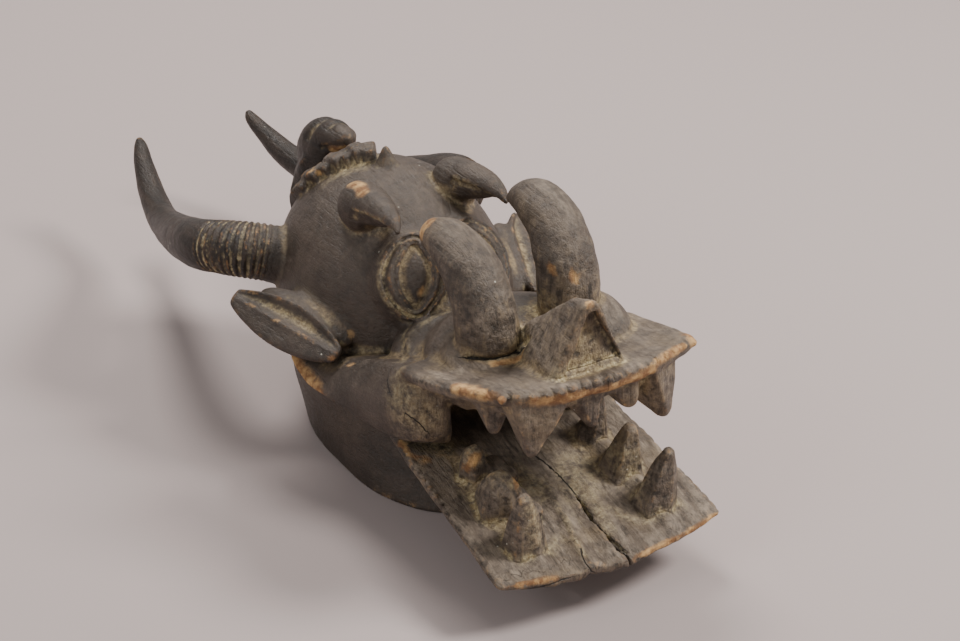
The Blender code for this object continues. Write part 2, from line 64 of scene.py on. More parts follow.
# Sizes of the main forms, the same as the solid's
WALL = 0.014
RIM_HALF_WIDTH = 0.105
RIM_HALF_LENGTH = 0.151
DOME_HALF_WIDTH = 0.115
DOME_HALF_LENGTH = 0.146
DOME_HEIGHT = 0.138
DOME_CENTRE_Y = 0.073
DOME_CENTRE_Z = 0.145
RIM_SQUARENESS = 2.6
JAW_HALF_WIDTH = 0.132
JAW_FRONT = 0.361
JAW_BOW = 0.017
JAW_EDGE = 0.009
JAW_KEEL = 0.030
JAW_ROOT = 0.085
JAW_ROOT_HALF_WIDTH = 0.112
JAW_REAR_HEIGHT = 0.119
JAW_FRONT_HEIGHT = 0.061
BEAK_HALF_WIDTH = 0.122
BEAK_FRONT = 0.331
BEAK_BOW = 0.026
BEAK_EDGE = 0.015
BEAK_ROOT = 0.150
BEAK_ROOT_HALF_WIDTH = 0.120
BEAK_REAR_HEIGHT = 0.199
BEAK_FRONT_HEIGHT = 0.241
TOOTH_RADIUS = 0.021
GUM_RADIUS = 0.011
TUSK_RADIUS = 0.031
TUSK_FOOT = 0.195
NOSE_HALF_WIDTH = 0.045
NOSE_APEX_HEIGHT = 0.311
NOSE_FRONT = 0.305
HORN_RADIUS = 0.030
EAR_LENGTH = 0.140
EAR_HALF_WIDTH = 0.0245
EAR_HOLLOW = 0.011
EYE_HALF_LENGTH = 0.032
EYE_HALF_WIDTH = 0.017
EYE_PROUD = 0.012
BIRD_HEAD_RADIUS = 0.026
SPIKE_HEIGHT = 0.031
COLLAR_HEIGHT = 0.017
COLLAR_RIDGES = 7
ANIMAL_RADIUS = 0.020
ANIMAL_PROUD = 0.022

# Finer than the solid: beads along the jaws' edges and ribs on the horns
NOTCH_PITCH = 0.0122
NOTCH_DEPTH = 0.004
JAW_NOTCH_PITCH = 0.0125
HORN_RIB_PITCH = 0.0062
HORN_RIB_DEPTH = 0.0024

# The lower jaw's split: distance ahead of the rim's centre, and place across
SPLIT = ((0.205, -0.001), (0.225, 0.006), (0.245, 0.0090), (0.275, 0.0112),
         (0.303, 0.0077), (0.326, 0.0083), (0.345, 0.0102), (0.362, 0.0150))

# Furthest that the carving may reach, just inside the solid's box
LIMIT_HALF_WIDTH = 0.1768
LIMIT_FRONT = 0.3606
LIMIT_BACK = 0.5508
LIMIT_TOP = 0.3442
LIMIT_LOW = 0.0004

# The field: step between samples, its corners, and the distance that stands for far
STEP = 0.0016
FIELD_LOW = np.array((-0.186, -0.372, -0.008))
FIELD_HIGH = np.array((0.186, 0.562, 0.356))
FAR = 0.05
REACH = 0.026
SKIN_TRIANGLES = 190000

cad_low, cad_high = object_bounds()
SHIFT_Y = cad_low[1] + JAW_FRONT


def smooth_min(a, b, k):
    if k <= 0:
        return np.minimum(a, b)
    h = np.clip(0.5 + 0.5 * (b - a) / k, 0.0, 1.0)
    return b + (a - b) * h - k * h * (1 - h)


def smooth_max(a, b, k):
    return -smooth_min(-a, -b, k)


def ease(value, low, high):
    t = np.clip((value - low) / (high - low), 0.0, 1.0)
    return t * t * (3 - 2 * t)


class Window:
    """Part of the field: its slices and its sample places as broadcasting axes."""

    def __init__(self, field, low, high):
        first = np.maximum(0, np.floor((np.array(low) - field.low) / STEP).astype(int))
        last = np.minimum(field.shape, np.ceil((np.array(high) - field.low) / STEP).astype(int) + 1)
        self.slices = tuple(slice(a, max(a, b)) for a, b in zip(first, last))
        self.shape = tuple(max(0, b - a) for a, b in zip(first, last))
        grids = [(field.low[i] + STEP * np.arange(first[i], max(first[i], last[i]))).astype(F32)
                 for i in range(3)]
        self.x = grids[0].reshape(-1, 1, 1)
        self.y = grids[1].reshape(1, -1, 1)
        self.z = grids[2].reshape(1, 1, -1)
        self.axes = (self.x, self.y, self.z)


class Field:
    """Signed distance to the carved surface, negative in the wood."""

    def __init__(self):
        self.low = FIELD_LOW
        self.shape = np.ceil((FIELD_HIGH - FIELD_LOW) / STEP).astype(int) + 1
        self.d = np.full(self.shape, FAR, F32)

    def window(self, low, high, margin=REACH):
        return Window(self, np.array(low) - margin, np.array(high) + margin)

    def around(self, centre, reach, margin=REACH):
        return self.window(np.array(centre) - reach, np.array(centre) + reach, margin)

    def join(self, window, distance, blend=0.0):
        part = self.d[window.slices]
        part[...] = smooth_min(part, distance.astype(F32), blend)

    def cut(self, window, distance, blend=0.0):
        part = self.d[window.slices]
        part[...] = smooth_max(part, -distance.astype(F32), blend)

    def carve(self, window, depth):
        self.d[window.slices] += depth.astype(F32)

    def read(self, points):
        """Field values at points by linear interpolation."""
        g = (points - self.low) / STEP
        g = np.clip(g, 0, self.shape - 1.001)
        i = g.astype(int)
        f = (g - i).astype(F32)
        total = np.zeros(len(points), F32)
        for corner in range(8):
            o = np.array(((corner >> 2) & 1, (corner >> 1) & 1, corner & 1))
            weight = np.prod(np.where(o, f, 1 - f), axis=1)
            j = i + o
            total += weight * self.d[j[:, 0], j[:, 1], j[:, 2]]
        return total


def lattice_noise(shape, cells, seed):
    """Smooth noise over the field, cells the size of its features along each axis."""
    shape = tuple(int(n) for n in shape)
    counts = [int(math.ceil(n * STEP / c)) + 4 for n, c in zip(shape, cells)]
    noise = np.random.default_rng(seed).standard_normal(counts).astype(F32)
    for axis, (n, c) in enumerate(zip(shape, cells)):
        t = np.arange(n) * STEP / c
        i = t.astype(int)
        f = (t - i).astype(F32)
        weights = ((1 - f) ** 3 / 6, (3 * f ** 3 - 6 * f ** 2 + 4) / 6,
                   (-3 * f ** 3 + 3 * f ** 2 + 3 * f + 1) / 6, f ** 3 / 6)
        spread = [1, 1, 1]
        spread[axis] = n
        noise = sum(np.take(noise, i + k, axis) * w.reshape(spread) for k, w in enumerate(weights))
    return noise * F32(2.0)


def smooth_path(points, steps):
    """Catmull-Rom curve through points of any length, steps samples a span."""
    ends = [[2 * a - b for a, b in zip(points[0], points[1])],
            [2 * a - b for a, b in zip(points[-1], points[-2])]]
    padded = [ends[0]] + [list(p) for p in points] + [ends[1]]
    path = []
    for i in range(1, len(padded) - 2):
        for k in range(steps):
            t = k / steps
            path.append([0.5 * (2 * b + (c - a) * t + (2 * a - 5 * b + 4 * c - d) * t * t
                                + (3 * b - a - 3 * c + d) * t ** 3)
                         for a, b, c, d in zip(*padded[i - 1:i + 3])])
    path.append(padded[-2])
    return path


def near_path(field, points, margin, ribs=None):
    """Window round a path and the distance to it, less its radius where it has one."""
    points = np.array(points, float)
    radii = points[:, 3] if points.shape[1] > 3 else np.zeros(len(points))
    spots = points[:, :3]
    window = field.window(spots.min(0) - radii.max(), spots.max(0) + radii.max(), margin)
    near = np.full(window.shape, FAR, F32)
    run = 0.0
    for a, b, ra, rb in zip(spots, spots[1:], radii, radii[1:]):
        span = b - a
        length = float(np.linalg.norm(span))
        if length < 1e-7:
            continue
        reach = max(ra, rb)
        part = field.window(np.minimum(a, b) - reach, np.maximum(a, b) + reach, margin)
        px, py, pz = part.x - F32(a[0]), part.y - F32(a[1]), part.z - F32(a[2])
        t = px * F32(span[0]) + py * F32(span[1]) + pz * F32(span[2])
        t = np.clip(t / F32(length ** 2), 0, 1)
        r = F32(ra) + F32(rb - ra) * t
        if ribs is not None:
            r = r - ribs(F32(run) + t * F32(length)).astype(F32)
        d = np.sqrt((px - t * F32(span[0])) ** 2 + (py - t * F32(span[1])) ** 2
                    + (pz - t * F32(span[2])) ** 2) - r
        local = tuple(slice(p.start - w.start, p.stop - w.start)
                      for p, w in zip(part.slices, window.slices))
        near[local] = np.minimum(near[local], d)
        run += length
    return window, near


def limb(field, stations, blend, ribs=None):
    window, near = near_path(field, stations, REACH, ribs=ribs)
    field.join(window, near, blend)


def groove(field, points, width, depth):
    """Soft valley along a path on the surface, or a ridge where depth is negative."""
    window, near = near_path(field, smooth_path(points, 4), 2.6 * width)
    field.carve(window, depth * np.exp(-(near / width) ** 2))


def squares(axes, centre, half):
    """Squared distance from a centre, each axis in its own half size."""
    x, y, z = [((axis - c) / h) ** 2 for axis, c, h in zip(axes, centre, half)]
    return x + y + z


def scoop(field, centre, half, depth):
    """Soft hollow on the surface, or a bump where depth is negative."""
    window = field.around(centre, half, 2 * max(half))
    field.carve(window, depth * np.exp(-squares(window.axes, centre, half)))


def turned(window, centre, axes):
    """The window's samples along three unit axes from a centre."""
    px, py, pz = [axis - F32(c) for axis, c in zip(window.axes, centre)]
    return [px * F32(a[0]) + py * F32(a[1]) + pz * F32(a[2]) for a in axes]


SLANT = 0.7071
UPRIGHT = ((1, 0, 0), (0, 1, 0), (0, 0, 1))


def ball(field, centre, half, blend, axes=UPRIGHT):
    window = field.around(centre, max(half))
    u, v, w = turned(window, centre, axes)
    k0 = np.sqrt((u / half[0]) ** 2 + (v / half[1]) ** 2 + (w / half[2]) ** 2)
    k1 = np.sqrt((u / half[0] ** 2) ** 2 + (v / half[1] ** 2) ** 2 + (w / half[2] ** 2) ** 2)
    field.join(window, k0 * (k0 - 1) / np.maximum(k1, 1e-6), blend)


def helmet_shape(x, y, z, inset):
    """Place as a share of the helmet's size, 1 on its surface, with its offsets back and up."""
    rise = np.clip(z / DOME_CENTRE_Z, 0, 1)
    half_width = RIM_HALF_WIDTH + (DOME_HALF_WIDTH - RIM_HALF_WIDTH) * rise - inset
    half_length = RIM_HALF_LENGTH + (DOME_HALF_LENGTH - RIM_HALF_LENGTH) * rise - inset
    power = RIM_SQUARENESS + (2.0 - RIM_SQUARENESS) * rise
    away = y - DOME_CENTRE_Y * (rise - 0.12 * rise ** 4) / 0.88
    up = np.maximum(z - DOME_CENTRE_Z, 0)
    flat = (np.abs(x) / half_width + 1e-4) ** power + (np.abs(away) / half_length + 1e-4) ** power
    flat = flat ** (1 / power)
    return np.sqrt(flat ** 2 + (up / (DOME_HEIGHT - inset)) ** 2), away, up


def helmet_distance(window, inset):
    full, away, up = helmet_shape(*window.axes, inset)
    radius = np.sqrt(window.x ** 2 + away ** 2 + up ** 2)
    return radius * (1 - 1 / np.maximum(full, 1e-3))


def dome_point(x, y, proud=0.0):
    dx, dy = x / DOME_HALF_WIDTH, (y - DOME_CENTRE_Y) / DOME_HALF_LENGTH
    z = DOME_HEIGHT * math.sqrt(max(0.0, 1 - dx * dx - dy * dy))
    normal = Vector((dx / DOME_HALF_WIDTH, dy / DOME_HALF_LENGTH, z / DOME_HEIGHT ** 2)).normalized()
    return Vector((x, y, DOME_CENTRE_Z + z)) + normal * proud, normal


def helmet(field):
    window = field.window((-0.13, -0.165, 0), (0.13, 0.235, 0.29))
    field.join(window, smooth_max(helmet_distance(window, 0.0), -window.z, 0.004))


def jaw_top(y):
    s = (-y - JAW_ROOT) / (JAW_FRONT - JAW_ROOT)
    return JAW_REAR_HEIGHT + (JAW_FRONT_HEIGHT - JAW_REAR_HEIGHT) * s


def beak_top(y):
    s = (-y - BEAK_ROOT) / (BEAK_FRONT - BEAK_ROOT)
    return BEAK_REAR_HEIGHT + (BEAK_FRONT_HEIGHT - BEAK_REAR_HEIGHT) * s


def board(window, root, rear, front, bow, edge, keel, swell, corner):
    """A jaw's board: its top, its thickness and the distance across its outline."""
    x, y = window.x, window.y
    s = (-y - root) / (front[2] - root)
    t = x / (rear[0] + (front[0] - rear[0]) * s)
    s = (-y - root) / (front[2] - root - bow * np.clip(t, -1.2, 1.2) ** 2)
    held = np.clip(s, -0.1, 1.1)
    half = rear[0] + (front[0] - rear[0]) * held
    t = np.clip(x / half, -1.1, 1.1)
    middle = 1 - t ** 2
    top = rear[1] + (front[1] - rear[1]) * held + swell * middle * np.minimum(1.0, 2 * np.maximum(held, 0))
    thick = edge + (keel * np.clip(1 - held, 0, 1) + 0.3 * edge) * middle
    ahead = (s - 1) * (front[2] - root)
    sides = np.abs(x) - half
    right = smooth_max(sides + 0.009 * ease(held, 0.25, 0.85), ahead + 0.002, corner[0])
    left = smooth_max(sides, ahead, corner[1])
    return top, thick, right + (left - right) * ease(x, -0.02, 0.02)


def notched(place, pitch, depth):
    """Row of narrow nicks between rounded beads."""
    return depth * (1 - np.abs(np.sin(np.pi * place / pitch)) ** 0.55)


def lower_jaw(field):
    """Board split along its middle, its two halves of different thickness."""
    window = field.window((-0.136, -JAW_FRONT, 0.03), (0.136, -JAW_ROOT + 0.01, 0.125))
    x, y, z = window.axes
    top, thick, outline = board(
        window, JAW_ROOT, (JAW_ROOT_HALF_WIDTH, JAW_REAR_HEIGHT),
        (JAW_HALF_WIDTH, JAW_FRONT_HEIGHT, JAW_FRONT), JAW_BOW, JAW_EDGE, JAW_KEEL, -0.003, (0.008, 0.006))
    split = np.interp(-y, *zip(*SPLIT)).astype(F32)
    split = split + 0.0006 * np.sin(y * 420) + 0.0004 * np.sin(y * 1130)
    right = ease(split - x, -0.001, 0.001)
    top = top - 0.0008 * (1 - right) * ease(-y, 0.25, 0.35)
    thick = thick - 0.0022 * (1 - right) * ease(-y, 0.2, 0.34)
    # Shallow channel and the rib beside it, between the rows of teeth
    rib = np.interp(-y, (0.25, 0.271, 0.293, 0.319, 0.342, 0.36),
                    (-0.012, -0.015, -0.0157, -0.0233, -0.028, -0.028)).astype(F32)
    bed = (rib + split) / 2
    along = ease(-y, 0.235, 0.275)
    top = top - along * (0.0040 * np.exp(-((x - bed) / 0.0085) ** 2)
                         - 0.0022 * np.exp(-((x - rib) / 0.0032) ** 2)
                         + 0.0018 * np.exp(-((x - rib + 0.011) / 0.0055) ** 2)
                         - 0.0012 * np.exp(-((x - split + 0.005) / 0.0026) ** 2))
    # Wood torn away on either side of the split
    torn = np.exp(-((y + 0.285) / 0.034) ** 2)
    top = top - torn * 0.0035 * np.exp(-((x - split - 0.001) / 0.0075) ** 2)
    top = top - 0.004 * ease(-y, 0.33, 0.362) * np.exp(-((x - split) / 0.012) ** 2)
    nicks = notched(y, JAW_NOTCH_PITCH, 0.0034) * ease(np.abs(x), 0.09, 0.10)
    chamfer = (outline + z - top) * SLANT + 0.0008 + nicks
    body = smooth_max(smooth_max(z - top, top - thick - z, 0.004), outline, 0.005)
    body = smooth_max(body, chamfer, 0.0015)
    body = smooth_max(body, y + JAW_ROOT, 0.004)
    field.join(window, body, 0.010)
    gape = 0.0007 + 0.0022 * np.exp(-((y + 0.287) / 0.017) ** 2) + 0.0006 * ease(-y, 0.32, 0.362)
    deep = 0.004 + 0.03 * ease(-y, 0.30, 0.345)
    crack = np.maximum(np.maximum(np.abs(x - split) - gape, top - deep - z), y + 0.205)
    field.cut(window, crack, 0.0010)
    branch = np.abs(x - split - 0.0045 + 0.11 * np.maximum(0, y + 0.352)) - 0.0006
    branch = np.maximum(np.maximum(branch, top - 0.004 - z), np.maximum(y + 0.315, -0.352 - y))
    field.cut(window, branch, 0.001)


def upper_jaw(field):
    """Board with nicks along its front edge."""
    window = field.window((-0.126, -BEAK_FRONT, 0.175), (0.126, -BEAK_ROOT + 0.01, 0.25))
    x, y, z = window.axes
    top, thick, outline = board(
        window, BEAK_ROOT, (BEAK_ROOT_HALF_WIDTH, BEAK_REAR_HEIGHT),
        (BEAK_HALF_WIDTH, BEAK_FRONT_HEIGHT, BEAK_FRONT), BEAK_BOW, BEAK_EDGE, 0.0, 0.002, (0.085, 0.016))
    front = ease(-y, 0.265, 0.295)
    slant = (outline + z - top) * SLANT
    nicks = notched(x + 0.0015 * np.sin(x * 90), NOTCH_PITCH, NOTCH_DEPTH) * front
    body = smooth_max(smooth_max(z - top, top - thick - z, 0.005), outline, 0.007)
    body = smooth_max(body, slant + 0.0022 + nicks, 0.0015)
    under = (outline + top - thick - z) * SLANT + 0.0026
    body = smooth_max(body, under, 0.004)
    body = smooth_max(body, y + BEAK_ROOT, 0.006)
    field.join(window, body, 0.009)


def beads(field):
    """Row of small beads along the upper jaw's front edge and the lower jaw's right side."""
    for i in range(18):
        x = -0.092 + NOTCH_PITCH * i
        t = x / BEAK_HALF_WIDTH
        front = BEAK_FRONT - BEAK_BOW * t * t - 0.0042 - 0.012 * max(0.0, (-x - 0.045) / 0.047) ** 1.6
        wide = 0.0046 if i % 3 else 0.0040
        ball(field, (x, -front, beak_top(-front) - 0.0022), (wide, 0.0042, 0.0036), 0.0012)
    for i in range(15):
        y = -0.170 - NOTCH_PITCH * i
        s = (-y - JAW_ROOT) / (JAW_FRONT - JAW_ROOT)
        x = JAW_ROOT_HALF_WIDTH + (JAW_HALF_WIDTH - JAW_ROOT_HALF_WIDTH) * s - 0.0026
        ball(field, (-x + 0.0012, y, jaw_top(y) - 0.0018), (0.0024, 0.0032, 0.0024), 0.0014)


def cheeks(field, side):
    stations = [(0.036, 0.126, 0.130, 0.143, 0.124, 0.100, 0.001),
                (0.000, 0.110, 0.132, 0.142, 0.108, 0.080, 0.003),
                (-0.050, 0.110, 0.152, 0.139, 0.112, 0.075, 0.007),
                (-0.100, 0.112, 0.176, 0.128, 0.110, 0.072, 0.012),
                (-0.145, 0.116, 0.192, 0.120, 0.114, 0.074, 0.014),
                (-0.172, 0.104, 0.1975, 0.108, 0.122, 0.074, 0.012),
                (-0.186, 0.090, 0.1965, 0.094, 0.134, 0.078, 0.005)]
    dense = np.array(sorted(smooth_path(stations, 5)))
    window = field.window((min(side * 0.07, side * 0.155), -0.188, 0.09),
                          (max(side * 0.07, side * 0.155), 0.037, 0.20))
    x, y, z = side * window.x, window.y, window.z
    x_top, z_top, x_low, z_low, x_in, bulge = [np.interp(y, dense[:, 0], dense[:, i]).astype(F32)
                                               for i in range(1, 7)]
    ex, ez = x_low - x_top, z_low - z_top
    length = np.sqrt(ex ** 2 + ez ** 2)
    share = np.clip(((x - x_top) * ex + (z - z_top) * ez) / length ** 2, 0, 1)
    outer = ((x - x_top) * -ez + (z - z_top) * ex) / length - bulge * np.sin(np.pi * share)
    roof = z - (z_top - 0.004 * (x_top - x) / np.maximum(x_top - x_in, 0.01))
    fx, fz = x_in - x_low, -0.012
    floor = ((x - x_low) * -fz + (z - z_low) * fx) / np.sqrt(fx ** 2 + fz ** 2)
    body = smooth_max(smooth_max(outer, roof, 0.006), floor, 0.004)
    body = smooth_max(body, x_in - x, 0.004)
    body = smooth_max(body, -0.186 - y, 0.018)
    body = smooth_max(body, y - 0.036, 0.004)
    field.join(window, body, 0.007)


def tooth(field, base, tip, radius, sides, turn, worn, full=0.0):
    """Faceted cone with a rounded, worn tip."""
    base, tip = np.array(base, float), np.array(tip, float)
    axis = tip - base
    height = np.linalg.norm(axis)
    axis /= height
    across = np.cross(axis, (0.0, 1.0, 0.0))
    across /= np.linalg.norm(across)
    beside = np.cross(axis, across)
    window = field.window(np.minimum(base, tip) - radius, np.maximum(base, tip) + radius)
    u, v, w = turned(window, base, (across, beside, axis))
    sector = 2 * math.pi / sides
    angle = np.arctan2(v, u) + turn
    angle = np.abs(np.mod(angle, sector) - sector / 2)
    r = np.sqrt(u ** 2 + v ** 2) * np.cos(angle)
    lean = radius / (height * 1.08)
    swell = full * radius * np.sin(np.pi * np.clip(w / height, 0, 1))
    slope = 1 / math.sqrt(1 + lean ** 2)
    r = smooth_max(r, np.sqrt(u ** 2 + v ** 2) * (0.74 if sides < 5 else 0.82), 0.0015)
    body = (r - swell - lean * (height * 1.08 - w)) * slope
    body = smooth_max(smooth_max(body, w - height + worn, 0.006), -w, 0.004)
    field.join(window, body, 0.0035)


def teeth(field):
    lower = [(0.072, -0.212, 0.062, 0.75), (0.075, -0.262, 0.060, 1.0), (0.079, -0.314, 0.070, 1.0)]
    for side in (-1, 1):
        gum = [(side * 0.062, -0.18, jaw_top(-0.18) - 0.004, 0.007),
               (side * 0.070, -0.25, jaw_top(-0.25) - 0.003, GUM_RADIUS),
               (side * 0.072, -0.34, jaw_top(-0.34) - 0.006, 0.008)]
        limb(field, smooth_path(gum, 4), 0.012)
        for i, (x, y, height, fat) in enumerate(lower):
            top = jaw_top(y)
            stub = side < 0 and i < 2
            if stub:
                height *= (0.68, 0.88)[i]
            base = (side * (x - 0.006), y + 0.004, top - 0.006)
            lean = 0.008 if side > 0 and i == 2 else 0.0
            tooth(field, base, (side * x + lean, y - 0.004, top + height), TOOTH_RADIUS * fat,
                  5 if i % 2 else 6, 0.7 * i + side, 0.010 if stub else 0.008, 0.30 if stub else 0.10)
            if stub:
                # eaten away into two rough lumps
                for dx, dy, share, half, depth in ((-0.012, -0.012, 0.7, (0.007, 0.007, 0.012), 0.004),
                                                   (0.012, 0.004, 0.8, (0.006, 0.007, 0.010), 0.003),
                                                   (-0.016, 0.010, 0.3, (0.007, 0.006, 0.009), 0.003)):
                    scoop(field, (side * (x + dx), y + dy, top + height * share), half, depth)
                for dx, dy, up, half in ((-0.022, -0.004, 0.006, (0.012, 0.013, 0.014)),
                                         (-0.028, -0.018, 0.002, (0.011, 0.013, 0.009))):
                    ball(field, (side * (x + dx), y + dy, top + up), half, 0.005)
    # Upper teeth: root, tip, length, share of a tooth's radius, and wear
    upper = [(-0.054, -0.292, -0.071, -0.316, 0.066, 1.30, 0.003),
             (0.067, -0.292, 0.080, -0.318, 0.066, 1.25, 0.0045),
             (-0.073, -0.252, -0.078, -0.262, 0.060, 1.0, 0.005),
             (0.072, -0.252, 0.075, -0.262, 0.058, 1.0, 0.004),
             (-0.010, -0.300, -0.003, -0.322, 0.056, 0.95, 0.006),
             (0.034, -0.299, 0.040, -0.322, 0.049, 1.05, 0.009)]
    gum = [(0.082, -0.19), (0.076, -0.26), (0.050, -0.298), (0.0, -0.307)]
    path = [(-x, y, beak_top(y) - 0.017, GUM_RADIUS) for x, y in gum]
    path += [(x, y, beak_top(y) - 0.017, GUM_RADIUS) for x, y in gum[-2::-1]]
    limb(field, smooth_path(path, 4), 0.006)
    for i, (x, y, tip_x, tip_y, drop, fat, worn) in enumerate(upper):
        root = beak_top(y) - 0.008
        tooth(field, (x, y, root), (tip_x, tip_y, root + 0.008 - drop), TOOTH_RADIUS * fat,
              4 if i < 2 else 5, 0.5 + 0.9 * i, worn, 0.06)


def snout(field):
    ball(field, (0.0, -0.168, 0.186), (0.090, 0.078, 0.052), 0.006)
    ball(field, (0.0, -0.095, 0.162), (0.090, 0.062, 0.038), 0.012)
    ball(field, (-0.050, -0.196, 0.215), (0.036, 0.036, 0.018), 0.012)
    ball(field, (0.060, -0.205, 0.218), (0.040, 0.052, 0.034), 0.006)


def nose(field):
    """A gable with a steep triangular front, its ridge falling back to the snout."""
    stations = np.array([(-NOSE_FRONT, NOSE_HALF_WIDTH, NOSE_APEX_HEIGHT, 0.010),
                         (-NOSE_FRONT + 0.030, NOSE_HALF_WIDTH, NOSE_APEX_HEIGHT - 0.010, 0.008),
                         (-NOSE_FRONT + 0.065, NOSE_HALF_WIDTH - 0.004, NOSE_APEX_HEIGHT - 0.040, 0.009),
                         (-NOSE_FRONT + 0.100, NOSE_HALF_WIDTH - 0.010, NOSE_APEX_HEIGHT - 0.068, 0.014)])
    window = field.window((-0.05, -NOSE_FRONT, 0.2), (0.05, -NOSE_FRONT + 0.1, 0.312))
    x, y, z = window.axes
    half, top, cap = [np.interp(y, stations[:, 0], stations[:, i]).astype(F32) for i in (1, 2, 3)]
    base = beak_top(y) - 0.006
    rise = top - 0.004 - base
    flank = ((np.abs(x) - half) * rise + (z - base) * (half - cap)) / np.sqrt(rise ** 2 + (half - cap) ** 2)
    body = smooth_max(flank, z - top, 0.006)
    front = -NOSE_FRONT - y + 0.10 * np.maximum(0, z - 0.29)
    body = smooth_max(body, front, 0.005)
    body = smooth_max(body, y + NOSE_FRONT - 0.1, 0.01)
    body = np.maximum(body, base - 0.01 - z)
    field.join(window, body, 0.006)
    low = beak_top(-NOSE_FRONT) + 0.007
    tall = NOSE_APEX_HEIGHT - 0.013 - low
    wide = NOSE_HALF_WIDTH - 0.015
    inner = ((np.abs(x - 0.003) - wide) * tall + (z - low) * (wide - 0.004)) / math.hypot(tall, wide)
    sunk = 0.0030 + 0.0085 * ease(z, low - 0.002, low + 0.040)
    panel = smooth_max(smooth_max(inner, low - z, 0.002), y + NOSE_FRONT - sunk, 0.0015)
    field.cut(window, smooth_max(panel, z - NOSE_APEX_HEIGHT + 0.013, 0.002), 0.0012)
    for x, y, z in ((-0.0275, -0.2861, 0.268), (-0.0225, -0.2700, 0.2745)):
        scoop(field, (x, y, z), (0.0042, 0.0042, 0.0042), -0.0016)


def tusks(field):
    base = beak_top(-TUSK_FOOT)
    foot = [(0.045, -0.198, -0.004, 1.03), (0.046, -0.195, 0.033, 1.0)]
    right = [(0.047, -0.187, 0.063, 0.96), (0.049, -0.165, 0.087, 0.88), (0.050, -0.135, 0.097, 0.74),
             (0.051, -0.112, 0.095, 0.56)]
    left = [(0.047, -0.187, 0.074, 0.97), (0.049, -0.163, 0.102, 0.90), (0.050, -0.132, 0.112, 0.76),
            (0.051, -0.103, 0.105, 0.50), (0.052, -0.080, 0.094, 0.22)]
    for side, points in ((-1, foot + right), (1, foot + left)):
        path = smooth_path(points, 5)
        limb(field, [(side * x, y, base + z, TUSK_RADIUS * r) for x, y, z, r in path], 0.004)
    # The right tusk's broken end
    end = np.array((-0.052, -0.097, base + 0.094))
    window = field.around(end, 0.02, 0.01)
    away = np.array((0.12, 0.93, 0.10))
    cap = turned(window, end, (away,))[0] + 0.0015 * np.sin(window.x * 700) + 0.001 * np.sin(window.z * 900)
    near = np.sqrt(squares(window.axes, end, (1, 1, 1)))
    field.cut(window, np.maximum(-cap, near - 0.024), 0.002)
    # Long facets left by the adze
    for side in (-1, 1):
        for dx, dy, deep in ((-0.026, -0.012, 0.0013), (0.020, -0.020, 0.0012), (0.030, 0.004, 0.0010),
                             (-0.004, -0.031, 0.0012)):
            groove(field, [(side * 0.046 + dx, -0.197 + dy, base + 0.012),
                           (side * 0.047 + dx, -0.190 + dy, base + 0.048),
                           (side * 0.049 + dx * 0.9, -0.172 + dy * 0.9, base + 0.082)], 0.007, deep)
    # Split round the foot of the right tusk, with a hole at its inner end
    split = [(-0.0753, -0.2075, 0.2253), (-0.0597, -0.2238, 0.2266), (-0.0394, -0.2266, 0.2264),
             (-0.0287, -0.2272, 0.2289), (-0.0216, -0.2334, 0.2441)]
    groove(field, split, 0.0017, 0.0035)
    hole = field.window((-0.035, -0.24, 0.225), (-0.010, -0.215, 0.255), 0.0)
    deep = np.sqrt(squares(hole.axes, (-0.0232, -0.2255, 0.2385), (0.0050, 0.0085, 0.0078)))
    field.cut(hole, (deep - 1) * 0.005, 0.0015)


def horns(field):
    ribbed = [(0.086, 0.132, 0.174, 1.0), (0.107, 0.145, 0.180, 1.0), (0.127, 0.157, 0.184, 0.98),
              (0.142, 0.176, 0.182, 0.94), (0.149, 0.202, 0.174, 0.90)]
    plain = [(0.148, 0.235, 0.162, 0.86), (0.137, 0.290, 0.140, 0.77), (0.115, 0.370, 0.107, 0.66),
             (0.100, 0.430, 0.091, 0.56), (0.088, 0.480, 0.096, 0.48), (0.079, 0.518, 0.110, 0.37),
             (0.072, 0.540, 0.122, 0.26), (0.0705, 0.5465, 0.1275, 0.16)]

    def ribs(run):
        on = ease(run, 0.018, 0.022) * (1 - ease(run, 0.092, 0.096))
        return on * HORN_RIB_DEPTH * (0.5 + 0.5 * np.cos(2 * np.pi * run / HORN_RIB_PITCH)) ** 2.2

    for side in (-1, 1):
        path = smooth_path(ribbed + plain, 4)
        limb(field, [(side * x, y, z, HORN_RADIUS * r) for x, y, z, r in path], 0.006, ribs)


def ears(field, side):
    along = Vector((side * 0.362, 0.920, 0.145)).normalized()
    facing = Vector((side * 0.62, -0.35, 0.70))
    facing = (facing - along * facing.dot(along)).normalized()
    across = along.cross(facing).normalized() * -side
    middle = Vector((side * 0.146, 0.036, 0.160))
    reach = EAR_LENGTH / 2
    window = field.around(middle, reach, 0.02)
    u, v, w = turned(window, middle, (across, along, facing))
    t = np.clip(v / EAR_LENGTH + 0.5, 0.0, 1.0)
    half = EAR_HALF_WIDTH * np.sin(np.pi * (0.06 + 0.88 * t)) ** 0.62
    deep = half / EAR_HALF_WIDTH
    s = np.clip(u / half, -1, 1)
    bow = np.maximum(0, np.sin(np.pi * t))
    hollow = EAR_HOLLOW * bow ** 0.7 * np.maximum(0, np.sin(np.pi * np.clip(s, 0, 1))) ** 1.6
    crown = 0.003 * deep * (1 - s * s) + 0.0014 * np.exp(-((s + 0.04) / 0.10) ** 2) * bow
    front = w - (crown - hollow)
    back = -w - (0.003 + 0.017 * deep * np.sqrt(np.maximum(0, 1 - s * s * 0.9)))
    body = smooth_max(smooth_max(front, back, 0.004), np.abs(u) - half, 0.004)
    body = smooth_max(body, np.abs(v) - reach, 0.004)
    field.join(window, body, 0.003)
    root = middle - facing * 0.018 + across * 0.018 - along * 0.006
    ball(field, root, (0.020, 0.060, 0.014), 0.010, (across, along, facing))


